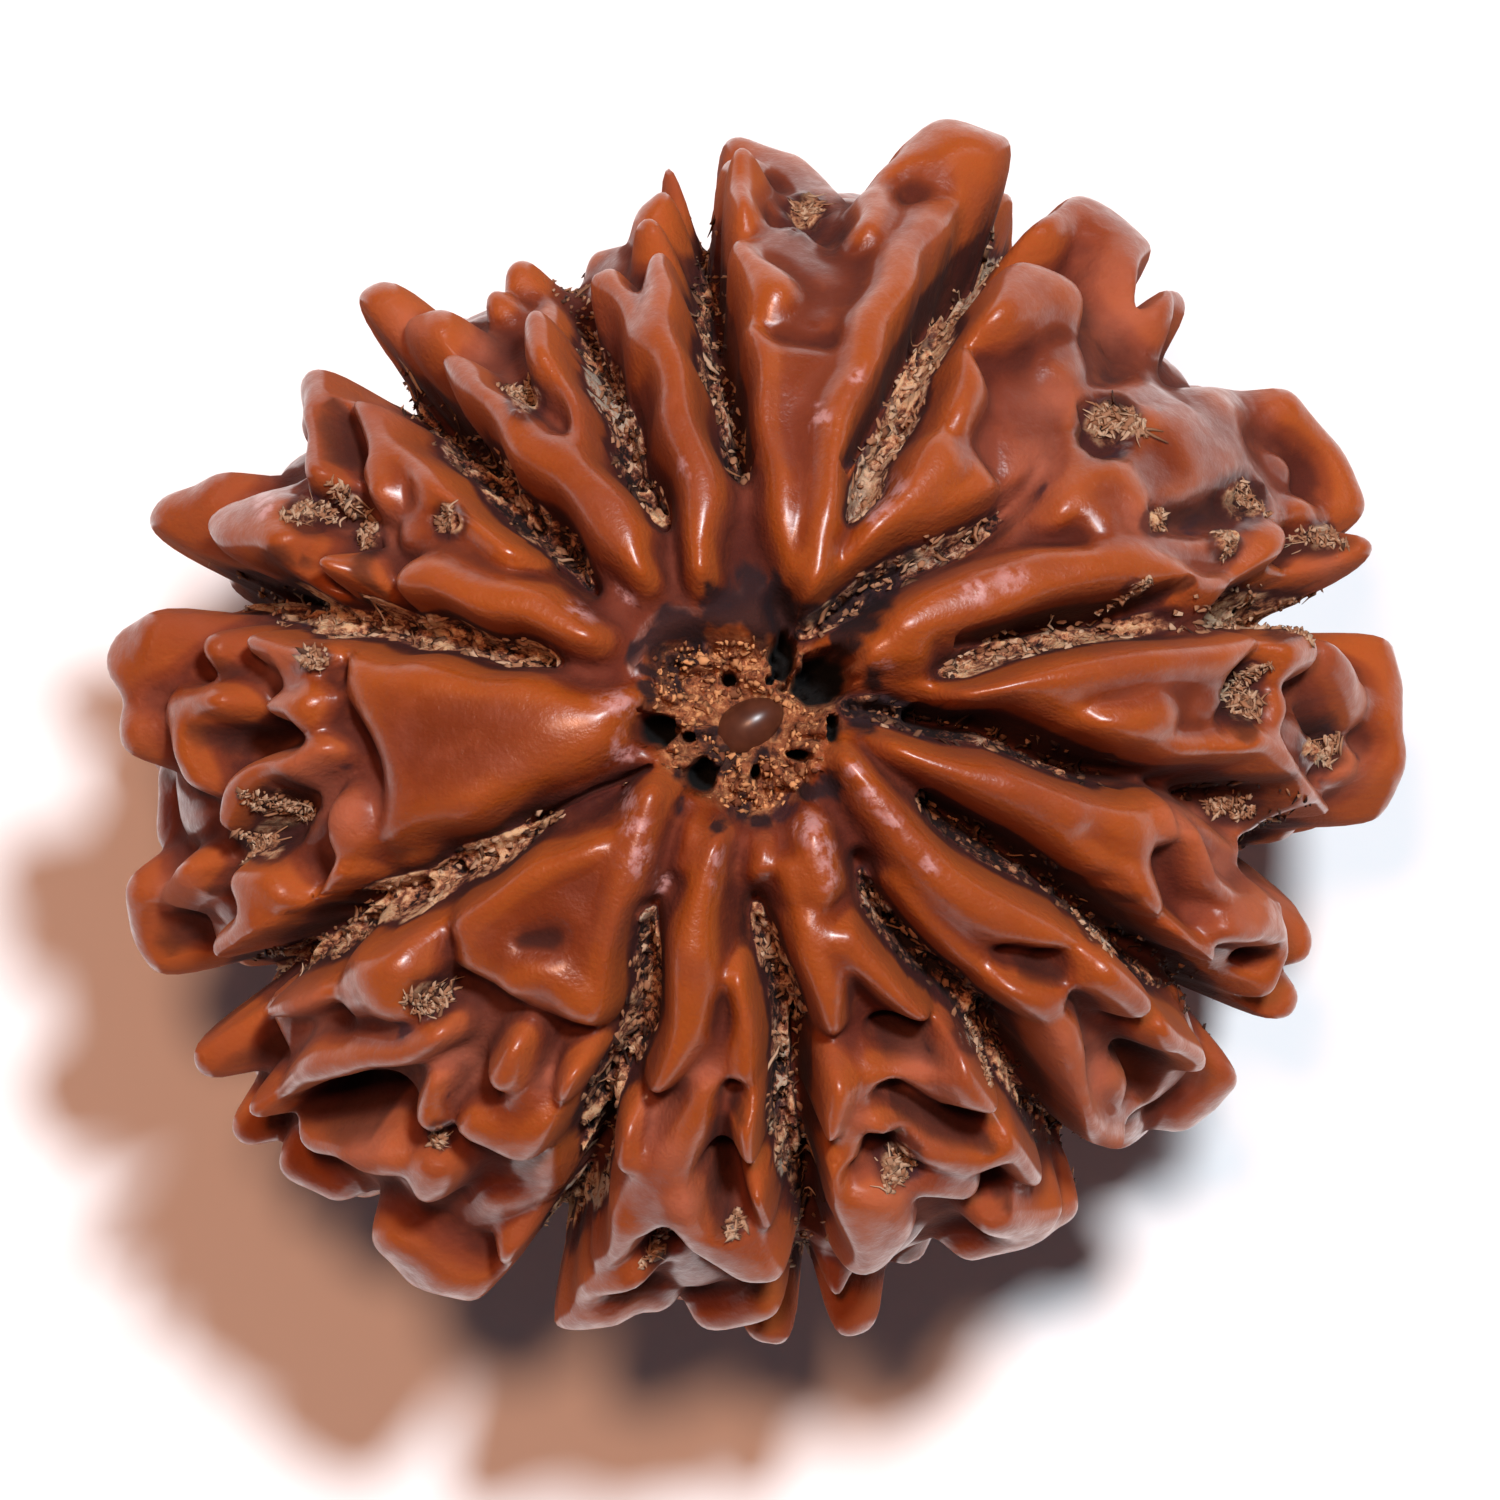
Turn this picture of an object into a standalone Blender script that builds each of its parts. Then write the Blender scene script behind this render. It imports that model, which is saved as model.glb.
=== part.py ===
"""A rudraksha bead: the hard many-lobed stone of Elaeocarpus ganitrus, lying on one end.

The stone is a squat round body. Thirteen grooves run over it from end to end, and the lobes
between them carry ridges, plates, knobs and pits. All sizes are in millimetres.
"""

import math

import bmesh
import bpy
import numpy as np

# overall form
HALF_HEIGHT = 8.8
ROUNDNESS = 2.35
BODY_HEIGHT = 1.0
GROOVE_DEPTH = 0.5
GROOVE_LIP = 1.8
GROOVE_FLOOR = 0.4
SCAR_RADIUS = 2.3
SCAR_DEPTH = 1.6
REST_LEVEL = -10.35
FLAT_BAND = 0.06
WANDER = 0.12
RIDGE_WIDER = 1.08
PIT_WIDER = 1.15
CENTRE_X = -0.052
CENTRE_Y = -0.023
RINGS = 230
SEGMENTS = 330
TRIANGLES = 11600
SEED = 13

# how blunt and how steep the strokes are, as the two powers in add_stroke
RIDGE_SHAPE = (3.4, 0.5)
KNOB_SHAPE = (3.8, 0.5)
SEEDED_SHAPE = (2.2, 0.7)
GROOVE_SHAPE = (2.0, 1.0)
PIT_SHAPE = (2.0, 0.7)

# radius of the body under the lobes, by angle round the axis
BODY_RADIUS = [
    (0, 9.9), (15, 10.0), (32, 9.9), (45, 9.5), (59, 9.8), (75, 9.6), (90, 9.3), (104, 8.9),
    (120, 8.8), (135, 9.1), (150, 9.3), (163, 10.1), (174, 10.4), (190, 10.5), (206, 10.5),
    (222, 10.7), (238, 10.3), (248, 9.9), (262, 9.9), (275, 9.8), (292, 9.4), (305, 9.5),
    (318, 9.6), (332, 9.6), (345, 9.6),
]

# farthest reach of the lobes from the axis, by angle
REACH = [
    (0, 13.0), (10, 12.4), (18, 12.6), (26, 12.7), (35, 12.3), (45, 10.9), (52, 12.0),
    (58, 11.5), (67, 12.6), (72, 12.6), (78, 11.0), (90, 11.8), (97, 11.6), (102, 10.4),
    (108, 9.9), (117, 10.0), (126, 9.8), (131, 11.4), (137, 10.5), (142, 11.2), (149, 10.1),
    (158, 12.2), (166, 11.9), (174, 12.9), (190, 12.2), (198, 12.8), (205, 12.4), (211, 12.6),
    (219, 12.6), (230, 13.0), (240, 12.6), (250, 12.6), (256, 12.6), (266, 12.0), (275, 12.3),
    (284, 11.2), (290, 10.4), (296, 11.8), (303, 10.7), (310, 11.5), (316, 11.0), (322, 12.3),
    (328, 10.9), (338, 11.9), (345, 10.9), (352, 12.6),
]

# grooves on the top, from the hollow outwards: x, y and half width
GROOVES = [
    [(-0.3, 4.3, 0.1), (-0.45, 5.0, 0.25), (-0.6, 6.0, 0.35), (-0.75, 7.2, 0.42),
     (-0.85, 8.5, 0.38), (-1.1, 9.6, 0.26)],
    [(1.55, 3.9, 0.1), (1.75, 4.5, 0.35), (2.3, 5.5, 0.42), (2.8, 6.4, 0.42), (3.3, 7.3, 0.42),
     (4.1, 8.6, 0.36), (5.0, 9.3, 0.3), (6.1, 9.75, 0.26)],
    [(0.9, 1.9, 0.25), (1.7, 2.35, 0.35), (2.7, 3.1, 0.35), (3.5, 3.65, 0.3), (4.3, 4.05, 0.22),
     (5.0, 4.4, 0.08), (5.7, 5.6, 0.04), (6.2, 7.0, 0.04), (6.7, 7.9, 0.2)],
    [(3.3, 1.25, 0.1), (4.0, 1.4, 0.3), (5.5, 1.75, 0.36), (6.9, 2.0, 0.36), (8.9, 2.3, 0.4),
     (11.0, 2.3, 0.4)],
    [(1.9, 0.3, 0.3), (3.2, 0.3, 0.35), (4.4, 0.05, 0.38), (5.4, -0.45, 0.42),
     (6.4, -0.85, 0.38), (7.2, -0.85, 0.25), (7.7, -0.8, 0.05), (8.4, -1.0, 0.05),
     (9.1, -1.3, 0.3), (9.9, -2.2, 0.4), (10.5, -2.8, 0.4)],
    [(2.6, -0.95, 0.1), (3.2, -1.35, 0.3), (4.3, -2.05, 0.36), (5.3, -2.8, 0.4),
     (6.3, -3.55, 0.42), (7.5, -4.55, 0.45), (8.9, -5.6, 0.4)],
    [(1.9, -2.5, 0.1), (2.3, -3.3, 0.25), (3.1, -4.35, 0.38), (4.1, -5.4, 0.42),
     (5.0, -6.8, 0.42), (5.8, -8.0, 0.36), (6.7, -8.75, 0.24)],
    [(0.1, -3.4, 0.1), (0.2, -4.1, 0.28), (0.35, -5.2, 0.4), (0.5, -6.6, 0.42),
     (0.65, -7.8, 0.4), (0.8, -9.0, 0.38), (0.85, -10.4, 0.28)],
    [(-1.9, -3.3, 0.1), (-2.05, -4.1, 0.28), (-2.3, -5.2, 0.4), (-2.6, -6.3, 0.4),
     (-2.85, -7.3, 0.4), (-3.3, -8.4, 0.38), (-3.8, -9.5, 0.38), (-4.1, -10.4, 0.3)],
    [(-2.2, -0.75, 0.05), (-3.5, -1.25, 0.12), (-4.5, -1.85, 0.32), (-6.0, -2.75, 0.4),
     (-7.3, -3.3, 0.4), (-8.5, -4.05, 0.36), (-9.6, -4.8, 0.36), (-11.0, -5.35, 0.35)],
    [(-3.6, 1.3, 0.08), (-4.4, 1.55, 0.3), (-5.4, 1.8, 0.36), (-6.6, 2.1, 0.38),
     (-8.1, 2.3, 0.45), (-9.6, 2.6, 0.45), (-11.3, 2.7, 0.4)],
    [(-3.1, 2.8, 0.1), (-3.7, 3.35, 0.3), (-4.5, 4.15, 0.38), (-5.5, 5.1, 0.42),
     (-6.4, 6.0, 0.42), (-7.5, 6.9, 0.4)],
    [(-2.0, 3.7, 0.1), (-2.25, 4.4, 0.3), (-2.65, 5.4, 0.38), (-2.95, 6.6, 0.36),
     (-3.3, 7.7, 0.34), (-3.6, 8.7, 0.3)],
]

# flat-topped plates on the top: height, width of the rounded edge, corners x, y
PLATES = [
    (0.75, 0.4, [(-0.3, 8.2), (-0.1, 5.0), (0.3, 4.0), (0.9, 2.6), (1.3, 2.3), (1.5, 4.6),
                 (1.9, 6.0), (2.6, 8.2), (1.4, 7.8)]),
    (0.6, 0.5, [(-0.9, 9.9), (-0.4, 8.0), (1.4, 7.6), (2.7, 8.2), (3.3, 9.8), (2.2, 9.7),
                (1.2, 9.9), (0.3, 10.3)]),
    (0.8, 0.45, [(1.9, 2.8), (2.4, 4.6), (3.0, 6.0), (4.3, 6.0), (5.1, 4.7), (3.6, 4.0)]),
    (0.35, 0.6, [(4.0, 6.0), (4.7, 8.0), (6.6, 8.3), (7.5, 7.8), (6.8, 6.8), (6.0, 5.6),
                 (5.1, 4.5)]),
    (0.75, 0.5, [(5.6, 4.5), (6.1, 6.9), (7.6, 7.6), (8.2, 7.1), (9.3, 6.95), (10.5, 6.9),
                 (11.3, 6.1), (11.9, 5.0), (11.7, 4.0), (9.0, 3.3), (7.0, 3.2)]),
    (0.8, 0.45, [(2.8, -0.6), (4.6, -0.8), (6.2, -1.4), (7.7, -1.2), (8.1, -2.3), (8.4, -3.6),
                 (7.7, -4.0), (6.6, -3.3), (5.4, -2.3), (4.0, -1.5)]),
    (0.9, 0.5, [(-2.1, -1.0), (-3.6, -1.9), (-5.0, -2.7), (-6.2, -3.5), (-6.4, -4.8),
                (-5.4, -5.1), (-4.7, -5.7), (-4.0, -6.1), (-3.1, -6.2), (-2.6, -5.5),
                (-2.3, -4.5), (-2.1, -3.0)]),
    (1.1, 0.8, [(-8.6, -4.2), (-7.7, -3.6), (-6.4, -3.8), (-6.5, -5.2), (-7.0, -6.0),
                (-8.4, -6.1), (-8.9, -5.3)]),
    (0.95, 0.7, [(-2.1, 0.8), (-5.0, 1.45), (-8.5, 1.95), (-8.6, 0.6), (-8.0, -0.6),
                 (-7.6, -2.4), (-6.0, -2.0), (-4.2, -1.0), (-2.8, -0.35)]),
]

# ridges and knobs on the top: height, then x, y and half width along the middle
RIDGES = [
    # lobe at 78 degrees
    (1.15, [(1.1, 2.4, 0.3), (1.2, 4.0, 0.4), (1.35, 5.0, 0.45), (1.8, 6.5, 0.5),
            (2.4, 8.0, 0.5), (3.0, 9.2, 0.5), (3.5, 10.2, 0.55), (4.3, 10.7, 0.5),
            (5.3, 10.8, 0.45)]),
    (0.95, [(-0.1, 8.0, 0.35), (0.0, 6.0, 0.35), (0.2, 4.5, 0.35), (0.7, 3.0, 0.3)]),
    (1.15, [(-0.65, 9.8, 0.55), (-0.2, 9.2, 0.6), (0.4, 8.9, 0.5)]),
    (1.3, [(-0.4, 10.6, 0.5), (-0.3, 11.3, 0.55)]),
    (1.2, [(2.3, 10.0, 0.4), (2.75, 10.9, 0.45)]),
    # lobe at 49 degrees
    (1.15, [(1.9, 2.9, 0.3), (2.4, 4.2, 0.5), (2.9, 5.1, 0.55), (3.5, 5.6, 0.5)]),
    (1.1, [(3.9, 6.3, 0.4), (4.0, 7.0, 0.55), (4.1, 7.6, 0.45)]),
    (1.45, [(4.95, 8.5, 0.65), (5.5, 8.9, 0.7), (6.1, 8.8, 0.55)]),
    (0.7, [(5.8, 7.8, 0.6), (5.9, 7.2, 0.5)]),
    (0.55, [(7.1, 8.2, 0.6), (7.4, 8.0, 0.5)]),
    # lobe at 24 degrees
    (0.95, [(2.2, 1.45, 0.4), (3.0, 1.75, 0.5)]),
    (1.15, [(2.9, 2.1, 0.4), (3.6, 2.5, 0.55), (4.5, 2.85, 0.65), (5.5, 3.0, 0.7),
            (6.6, 3.0, 0.6), (7.7, 3.15, 0.6), (9.0, 2.85, 0.5), (9.9, 2.85, 0.45),
            (10.25, 3.2, 0.4), (10.45, 3.8, 0.38)]),
    (0.95, [(6.1, 4.3, 0.4), (7.0, 5.0, 0.42), (7.5, 4.4, 0.4)]),
    (0.95, [(6.8, 4.1, 0.45)]),
    (0.95, [(7.6, 6.1, 0.5), (8.3, 6.2, 0.55)]),
    (1.0, [(9.2, 6.4, 0.65), (10.2, 6.3, 0.75), (10.8, 5.6, 0.6)]),
    (0.95, [(8.4, 5.7, 0.7), (9.4, 5.9, 0.8)]),
    (1.1, [(10.5, 5.2, 0.4)]),
    (1.2, [(10.9, 4.35, 0.3), (11.5, 4.3, 0.35), (11.9, 3.7, 0.4), (11.6, 3.05, 0.4),
           (10.9, 2.95, 0.35)]),
    # lobe at 0 degrees
    (1.15, [(4.2, 0.8, 0.3), (5.2, 1.0, 0.45), (6.6, 1.2, 0.5), (8.0, 1.4, 0.5),
            (9.0, 1.6, 0.45), (9.8, 1.9, 0.3)]),
    (0.7, [(5.5, 0.4, 0.5), (7.2, 0.7, 0.7), (8.8, 0.8, 0.6)]),
    (1.1, [(6.7, -0.2, 0.5), (7.3, 0.0, 0.55), (8.0, 0.3, 0.5)]),
    (0.8, [(7.3, -1.1, 0.4), (8.2, -0.5, 0.45), (9.2, -0.4, 0.45)]),
    (1.15, [(9.5, -0.1, 0.4), (10.2, -0.6, 0.48), (10.8, -1.3, 0.5), (11.5, -1.8, 0.38)]),
    (1.35, [(10.5, 1.5, 0.5), (11.0, 1.5, 0.52)]),
    (1.0, [(10.25, 0.35, 0.48)]),
    (1.3, [(11.5, 1.4, 0.5), (11.9, 0.8, 0.6), (12.2, 0.4, 0.5)]),
    (1.2, [(11.8, -0.5, 0.45), (12.0, -1.2, 0.45)]),
    # lobe at -22 degrees
    (1.1, [(2.6, -0.45, 0.3), (3.4, -0.55, 0.42), (4.4, -0.7, 0.45), (5.3, -1.2, 0.45),
           (6.2, -1.7, 0.5)]),
    (0.95, [(6.9, -1.6, 0.5), (7.6, -2.2, 0.55)]),
    (1.15, [(7.6, -3.3, 0.6), (7.8, -3.6, 0.55)]),
    (0.95, [(8.2, -1.7, 0.4), (8.3, -1.95, 0.35)]),
    (0.9, [(8.8, -2.0, 0.3), (9.15, -2.9, 0.32), (9.7, -3.45, 0.3), (10.4, -3.6, 0.25)]),
    (1.2, [(8.5, -4.2, 0.42), (8.9, -4.6, 0.42), (9.25, -5.0, 0.32)]),
    (1.2, [(9.4, -3.95, 0.35), (10.1, -4.05, 0.4), (10.45, -4.6, 0.35), (10.2, -5.3, 0.35)]),
    (0.8, [(9.8, -5.05, 0.35)]),
    # lobe at -45 degrees
    (1.1, [(1.6, -0.7, 0.3), (2.1, -1.5, 0.42), (2.9, -2.25, 0.5), (3.7, -2.8, 0.5),
           (4.6, -3.35, 0.55), (5.4, -3.9, 0.5), (6.0, -4.25, 0.4)]),
    (0.6, [(3.0, -3.2, 0.5), (4.2, -4.3, 0.6)]),
    (1.15, [(5.2, -5.2, 0.6), (5.45, -5.5, 0.6)]),
    (1.6, [(6.9, -5.05, 0.62), (7.4, -5.4, 0.6)]),
    (1.25, [(8.0, -5.8, 0.38), (8.5, -6.3, 0.36), (8.9, -6.7, 0.32)]),
    (1.05, [(5.85, -6.1, 0.38), (6.3, -7.1, 0.42), (6.8, -8.1, 0.45), (6.95, -8.5, 0.42)]),
    (0.5, [(7.1, -7.0, 0.5), (7.7, -7.4, 0.45)]),
    # lobe at -70 degrees
    (0.95, [(0.9, -2.1, 0.35), (1.4, -3.2, 0.42)]),
    (0.85, [(0.6, -2.8, 0.25), (0.85, -3.4, 0.3)]),
    (0.7, [(0.05, -2.4, 0.25), (0.1, -3.0, 0.25)]),
    (1.0, [(1.25, -4.0, 0.5), (1.25, -5.0, 0.52), (1.2, -5.8, 0.4)]),
    (1.35, [(1.5, -7.1, 0.38), (1.4, -7.6, 0.4), (1.4, -8.1, 0.3)]),
    (1.05, [(1.9, -4.1, 0.4), (2.6, -4.9, 0.45), (3.4, -5.6, 0.4)]),
    (0.7, [(2.2, -6.55, 0.35), (3.0, -6.7, 0.4), (3.8, -7.1, 0.45)]),
    (1.5, [(4.25, -6.8, 0.58), (4.55, -7.2, 0.6), (4.9, -7.6, 0.42)]),
    (0.7, [(3.2, -7.5, 0.3), (4.0, -7.75, 0.3)]),
    (0.75, [(2.0, -7.0, 0.3), (1.95, -8.4, 0.35)]),
    (1.0, [(1.5, -8.8, 0.35), (1.6, -9.8, 0.4), (1.7, -10.7, 0.5)]),
    (1.15, [(2.4, -9.5, 0.55), (2.3, -10.2, 0.62), (2.1, -10.7, 0.55)]),
    (1.0, [(2.5, -7.6, 0.3), (3.2, -8.2, 0.42), (4.2, -8.6, 0.48), (5.1, -8.4, 0.42),
           (5.8, -9.0, 0.42)]),
    (0.9, [(3.3, -9.1, 0.45), (3.9, -9.2, 0.5)]),
    (1.2, [(4.7, -9.8, 0.5), (5.3, -10.0, 0.6), (5.8, -9.8, 0.4)]),
    # lobe at -97 degrees
    (1.1, [(-0.95, -2.3, 0.28), (-1.0, -3.4, 0.42), (-1.2, -4.5, 0.5), (-1.55, -5.8, 0.5),
           (-2.05, -7.1, 0.4)]),
    (0.75, [(-1.5, -1.9, 0.25), (-1.5, -2.7, 0.25)]),
    (0.95, [(-0.25, -5.2, 0.42), (-0.35, -6.3, 0.42), (-0.35, -6.9, 0.4)]),
    (0.6, [(-1.1, -6.3, 0.3), (-1.0, -7.2, 0.35)]),
    (1.15, [(-2.6, -8.1, 0.32), (-2.6, -8.8, 0.36)]),
    (0.95, [(-1.15, -7.3, 0.38), (-1.35, -8.2, 0.45), (-1.9, -9.1, 0.55), (-2.5, -9.7, 0.5)]),
    (1.1, [(-2.9, -9.9, 0.45), (-3.5, -10.6, 0.42)]),
    (1.25, [(-2.6, -11.0, 0.4), (-3.2, -11.2, 0.5), (-3.9, -11.4, 0.42)]),
    (1.45, [(-0.1, -7.9, 0.44), (0.05, -8.2, 0.52), (0.1, -8.6, 0.44)]),
    (1.1, [(-1.4, -9.4, 0.5), (-1.1, -10.2, 0.62), (-0.3, -10.7, 0.65), (0.2, -10.8, 0.45)]),
    (1.2, [(0.15, -9.5, 0.35), (0.3, -10.1, 0.38)]),
    # lobe at 228 degrees
    (1.1, [(-2.45, -1.3, 0.4), (-2.5, -2.6, 0.45), (-2.6, -4.0, 0.42), (-2.9, -5.5, 0.4)]),
    (1.1, [(-3.4, -2.15, 0.35), (-4.5, -2.7, 0.4), (-5.6, -3.4, 0.42), (-6.0, -3.9, 0.38)]),
    (1.05, [(-4.9, -4.95, 0.4), (-4.2, -4.8, 0.42), (-3.5, -5.4, 0.5)]),
    (1.45, [(-7.75, -4.2, 0.6), (-7.55, -4.9, 0.75)]),
    (0.95, [(-8.9, -5.0, 0.4), (-9.5, -5.5, 0.35), (-10.0, -5.6, 0.3)]),
    (1.2, [(-6.6, -6.1, 0.38), (-7.6, -6.4, 0.45), (-8.6, -6.6, 0.5), (-9.2, -7.1, 0.34),
           (-9.5, -7.4, 0.28)]),
    (1.35, [(-5.0, -6.3, 0.4), (-5.1, -6.9, 0.48)]),
    (1.45, [(-3.6, -7.1, 0.48), (-3.65, -7.5, 0.48)]),
    (0.95, [(-6.5, -7.0, 0.34), (-6.55, -7.8, 0.36)]),
    (1.1, [(-9.1, -8.2, 0.45), (-8.3, -8.4, 0.62), (-7.5, -8.6, 0.6)]),
    (1.15, [(-6.6, -8.9, 0.48), (-6.7, -9.3, 0.42)]),
    (1.05, [(-5.5, -8.1, 0.55), (-4.8, -8.4, 0.6), (-4.0, -8.1, 0.45)]),
    (0.85, [(-4.6, -7.5, 0.5)]),
    # lobe at 187 degrees
    (1.05, [(-8.3, -1.6, 0.5), (-8.2, -2.1, 0.5)]),
    (1.05, [(-9.0, -3.6, 0.3), (-8.3, -3.0, 0.42)]),
    (1.25, [(-10.0, 0.5, 0.34), (-9.2, 0.55, 0.48)]),
    (1.1, [(-10.1, 1.85, 0.38), (-9.4, 1.9, 0.4), (-9.0, 1.6, 0.3)]),
    (0.85, [(-9.6, 1.3, 0.35), (-9.0, 1.2, 0.3)]),
    (1.2, [(-11.0, 1.8, 0.48)]),
    (1.25, [(-11.0, 0.7, 0.48), (-11.6, 0.4, 0.6), (-11.5, -0.2, 0.5)]),
    (1.1, [(-8.9, -0.35, 0.3), (-9.6, -0.6, 0.35), (-10.4, -1.1, 0.48), (-10.7, -1.7, 0.4)]),
    (1.0, [(-11.3, -0.8, 0.45)]),
    (1.1, [(-10.3, -3.0, 0.5), (-9.8, -3.1, 0.5)]),
    (1.25, [(-10.2, -3.85, 0.52), (-10.8, -4.3, 0.5)]),
    (1.2, [(-11.5, -2.9, 0.4), (-12.0, -3.5, 0.4), (-11.8, -4.6, 0.45)]),
    # lobe at 154 degrees
    (1.1, [(-3.3, 2.0, 0.3), (-4.2, 2.45, 0.5), (-5.8, 2.9, 0.58), (-6.85, 3.05, 0.55)]),
    (1.0, [(-8.1, 6.5, 0.35), (-7.4, 5.9, 0.4), (-6.6, 5.2, 0.45), (-5.9, 4.6, 0.4),
           (-4.9, 3.8, 0.35)]),
    (0.6, [(-6.6, 4.3, 0.6), (-5.5, 3.6, 0.5)]),
    (1.15, [(-8.1, 6.4, 0.35), (-7.8, 5.6, 0.4), (-7.6, 4.9, 0.4)]),
    (1.65, [(-8.55, 3.3, 0.64)]),
    (1.2, [(-9.3, 3.05, 0.3), (-10.3, 3.3, 0.26)]),
    (1.5, [(-9.7, 4.2, 0.75), (-10.3, 4.15, 0.88), (-10.8, 4.0, 0.88)]),
    (0.85, [(-9.1, 4.85, 0.3), (-8.3, 4.85, 0.3)]),
    (1.55, [(-8.6, 5.2, 0.36), (-8.9, 6.1, 0.4), (-8.95, 6.9, 0.44)]),
    # lobe at 128 degrees
    (1.15, [(-6.5, 7.3, 0.4), (-6.0, 6.8, 0.48), (-5.3, 6.1, 0.5), (-4.7, 5.55, 0.5),
            (-3.9, 5.1, 0.55), (-3.1, 4.4, 0.5), (-2.6, 3.7, 0.4), (-2.3, 3.1, 0.3)]),
    (0.9, [(-3.5, 5.9, 0.4), (-3.75, 6.6, 0.45), (-4.0, 7.2, 0.55)]),
    (1.2, [(-4.2, 7.6, 0.65), (-4.4, 8.1, 0.62)]),
    (1.4, [(-7.2, 7.9, 0.5), (-6.6, 8.1, 0.52)]),
    # lobe at 105 degrees
    (1.15, [(-1.2, 3.2, 0.3), (-1.3, 4.4, 0.45), (-1.55, 5.5, 0.48), (-1.8, 6.8, 0.4),
            (-1.9, 7.9, 0.48), (-1.85, 8.8, 0.5), (-1.75, 9.6, 0.42)]),
    (0.9, [(-2.3, 7.5, 0.3), (-2.7, 8.5, 0.32), (-2.9, 9.2, 0.34)]),
    (1.2, [(-3.6, 9.1, 0.42)]),
    (1.2, [(-2.15, 10.2, 0.38)]),
]

# lobes and knobs that stand out at the side: half width, then x, y of the tip and its level
SIDE_KNOBS = [
    (0.65, [(-1.5, 11.7, 0.0), (-0.6, 11.8, 0.5), (0.4, 11.5, 1.0), (1.3, 10.9, 2.0)]),
    (0.9, [(3.7, 11.75, 2.5), (4.2, 12.12, 2.3), (4.8, 11.9, 2.2), (5.4, 11.2, 2.4)]),
    (0.75, [(5.5, 11.0, 2.5), (5.7, 10.4, 3.0)]),
    (0.45, [(2.8, 11.3, 3.0)]),
    (0.5, [(-0.5, 11.6, 3.0)]),
    (0.95, [(6.9, 10.35, 2.0), (7.5, 9.9, 2.0), (7.9, 9.1, 2.8)]),
    (0.55, [(8.45, 8.6, 2.0)]),
    (0.62, [(10.8, 6.6, 1.5), (11.6, 5.8, 1.0), (12.05, 4.8, 1.0)]),
    (0.65, [(12.3, 3.6, 2.5), (12.2, 2.9, 2.0)]),
    (0.68, [(12.7, 1.45, 0.0), (12.88, 0.7, 0.3), (12.85, 0.2, 0.5)]),
    (0.65, [(12.9, -0.85, 0.5), (12.5, -1.6, 0.0)]),
    (0.5, [(10.6, -3.4, 0.0), (11.1, -4.2, 1.0)]),
    (0.58, [(10.8, -5.4, 0.5), (10.5, -6.0, 0.5)]),
    (0.88, [(9.6, -7.0, 1.5), (9.3, -7.4, 1.3), (8.9, -7.7, 1.2)]),
    (0.5, [(7.6, -8.0, 0.0)]),
    (0.6, [(6.4, -9.7, 1.0), (6.1, -9.9, 1.0)]),
    (0.7, [(5.5, -10.3, 1.5), (4.7, -10.4, 1.5)]),
    (0.65, [(1.95, -12.1, 0.0), (1.75, -12.1, 0.0)]),
    (0.45, [(1.5, -11.5, 1.5)]),
    (0.42, [(3.1, -10.7, 0.0)]),
    (0.7, [(-2.3, -11.6, 1.5), (-3.2, -11.9, 1.5), (-3.95, -12.0, 1.0)]),
    (0.6, [(-0.8, -12.0, 1.0), (0.1, -11.75, 1.5)]),
    (0.6, [(0.2, -12.35, -0.5), (0.0, -12.3, -0.5)]),
    (0.55, [(-11.3, -6.2, 2.0), (-11.2, -6.9, 2.0)]),
    (0.45, [(-10.1, -7.8, 3.0)]),
    (0.55, [(-10.6, -8.0, 0.5)]),
    (0.65, [(-9.6, -8.9, 1.0), (-8.9, -9.2, 1.0)]),
    (0.85, [(-7.3, -10.5, 2.0), (-6.5, -11.2, 1.5), (-5.6, -11.5, 1.0)]),
    (0.45, [(-5.0, -10.7, 3.0), (-4.8, -11.4, 1.5)]),
    (0.82, [(-12.9, 1.6, 3.0), (-12.5, 1.75, 3.2)]),
    (0.68, [(-12.8, 0.1, 3.0)]),
    (0.45, [(-12.1, -1.2, 1.0), (-12.1, -2.3, 1.0)]),
    (0.62, [(-12.65, -3.5, 1.5), (-12.4, -4.4, 1.0), (-12.0, -5.1, 0.5)]),
    (0.8, [(-12.5, 3.7, 1.0), (-12.2, 4.3, 1.0), (-11.3, 4.7, 1.5)]),
    (0.58, [(-8.85, 7.25, 2.5), (-9.0, 6.4, 2.5)]),
    (0.72, [(-8.5, 8.5, 2.5), (-7.8, 8.8, 2.5)]),
    (0.5, [(-4.8, 9.3, 3.0)]),
    (0.45, [(-5.4, 8.7, 3.5)]),
    (0.6, [(-2.15, 10.8, 2.5), (-2.2, 10.6, 2.5)]),
    (0.45, [(-3.7, 9.5, 2.0), (-3.1, 9.6, 2.0)]),
]

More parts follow.
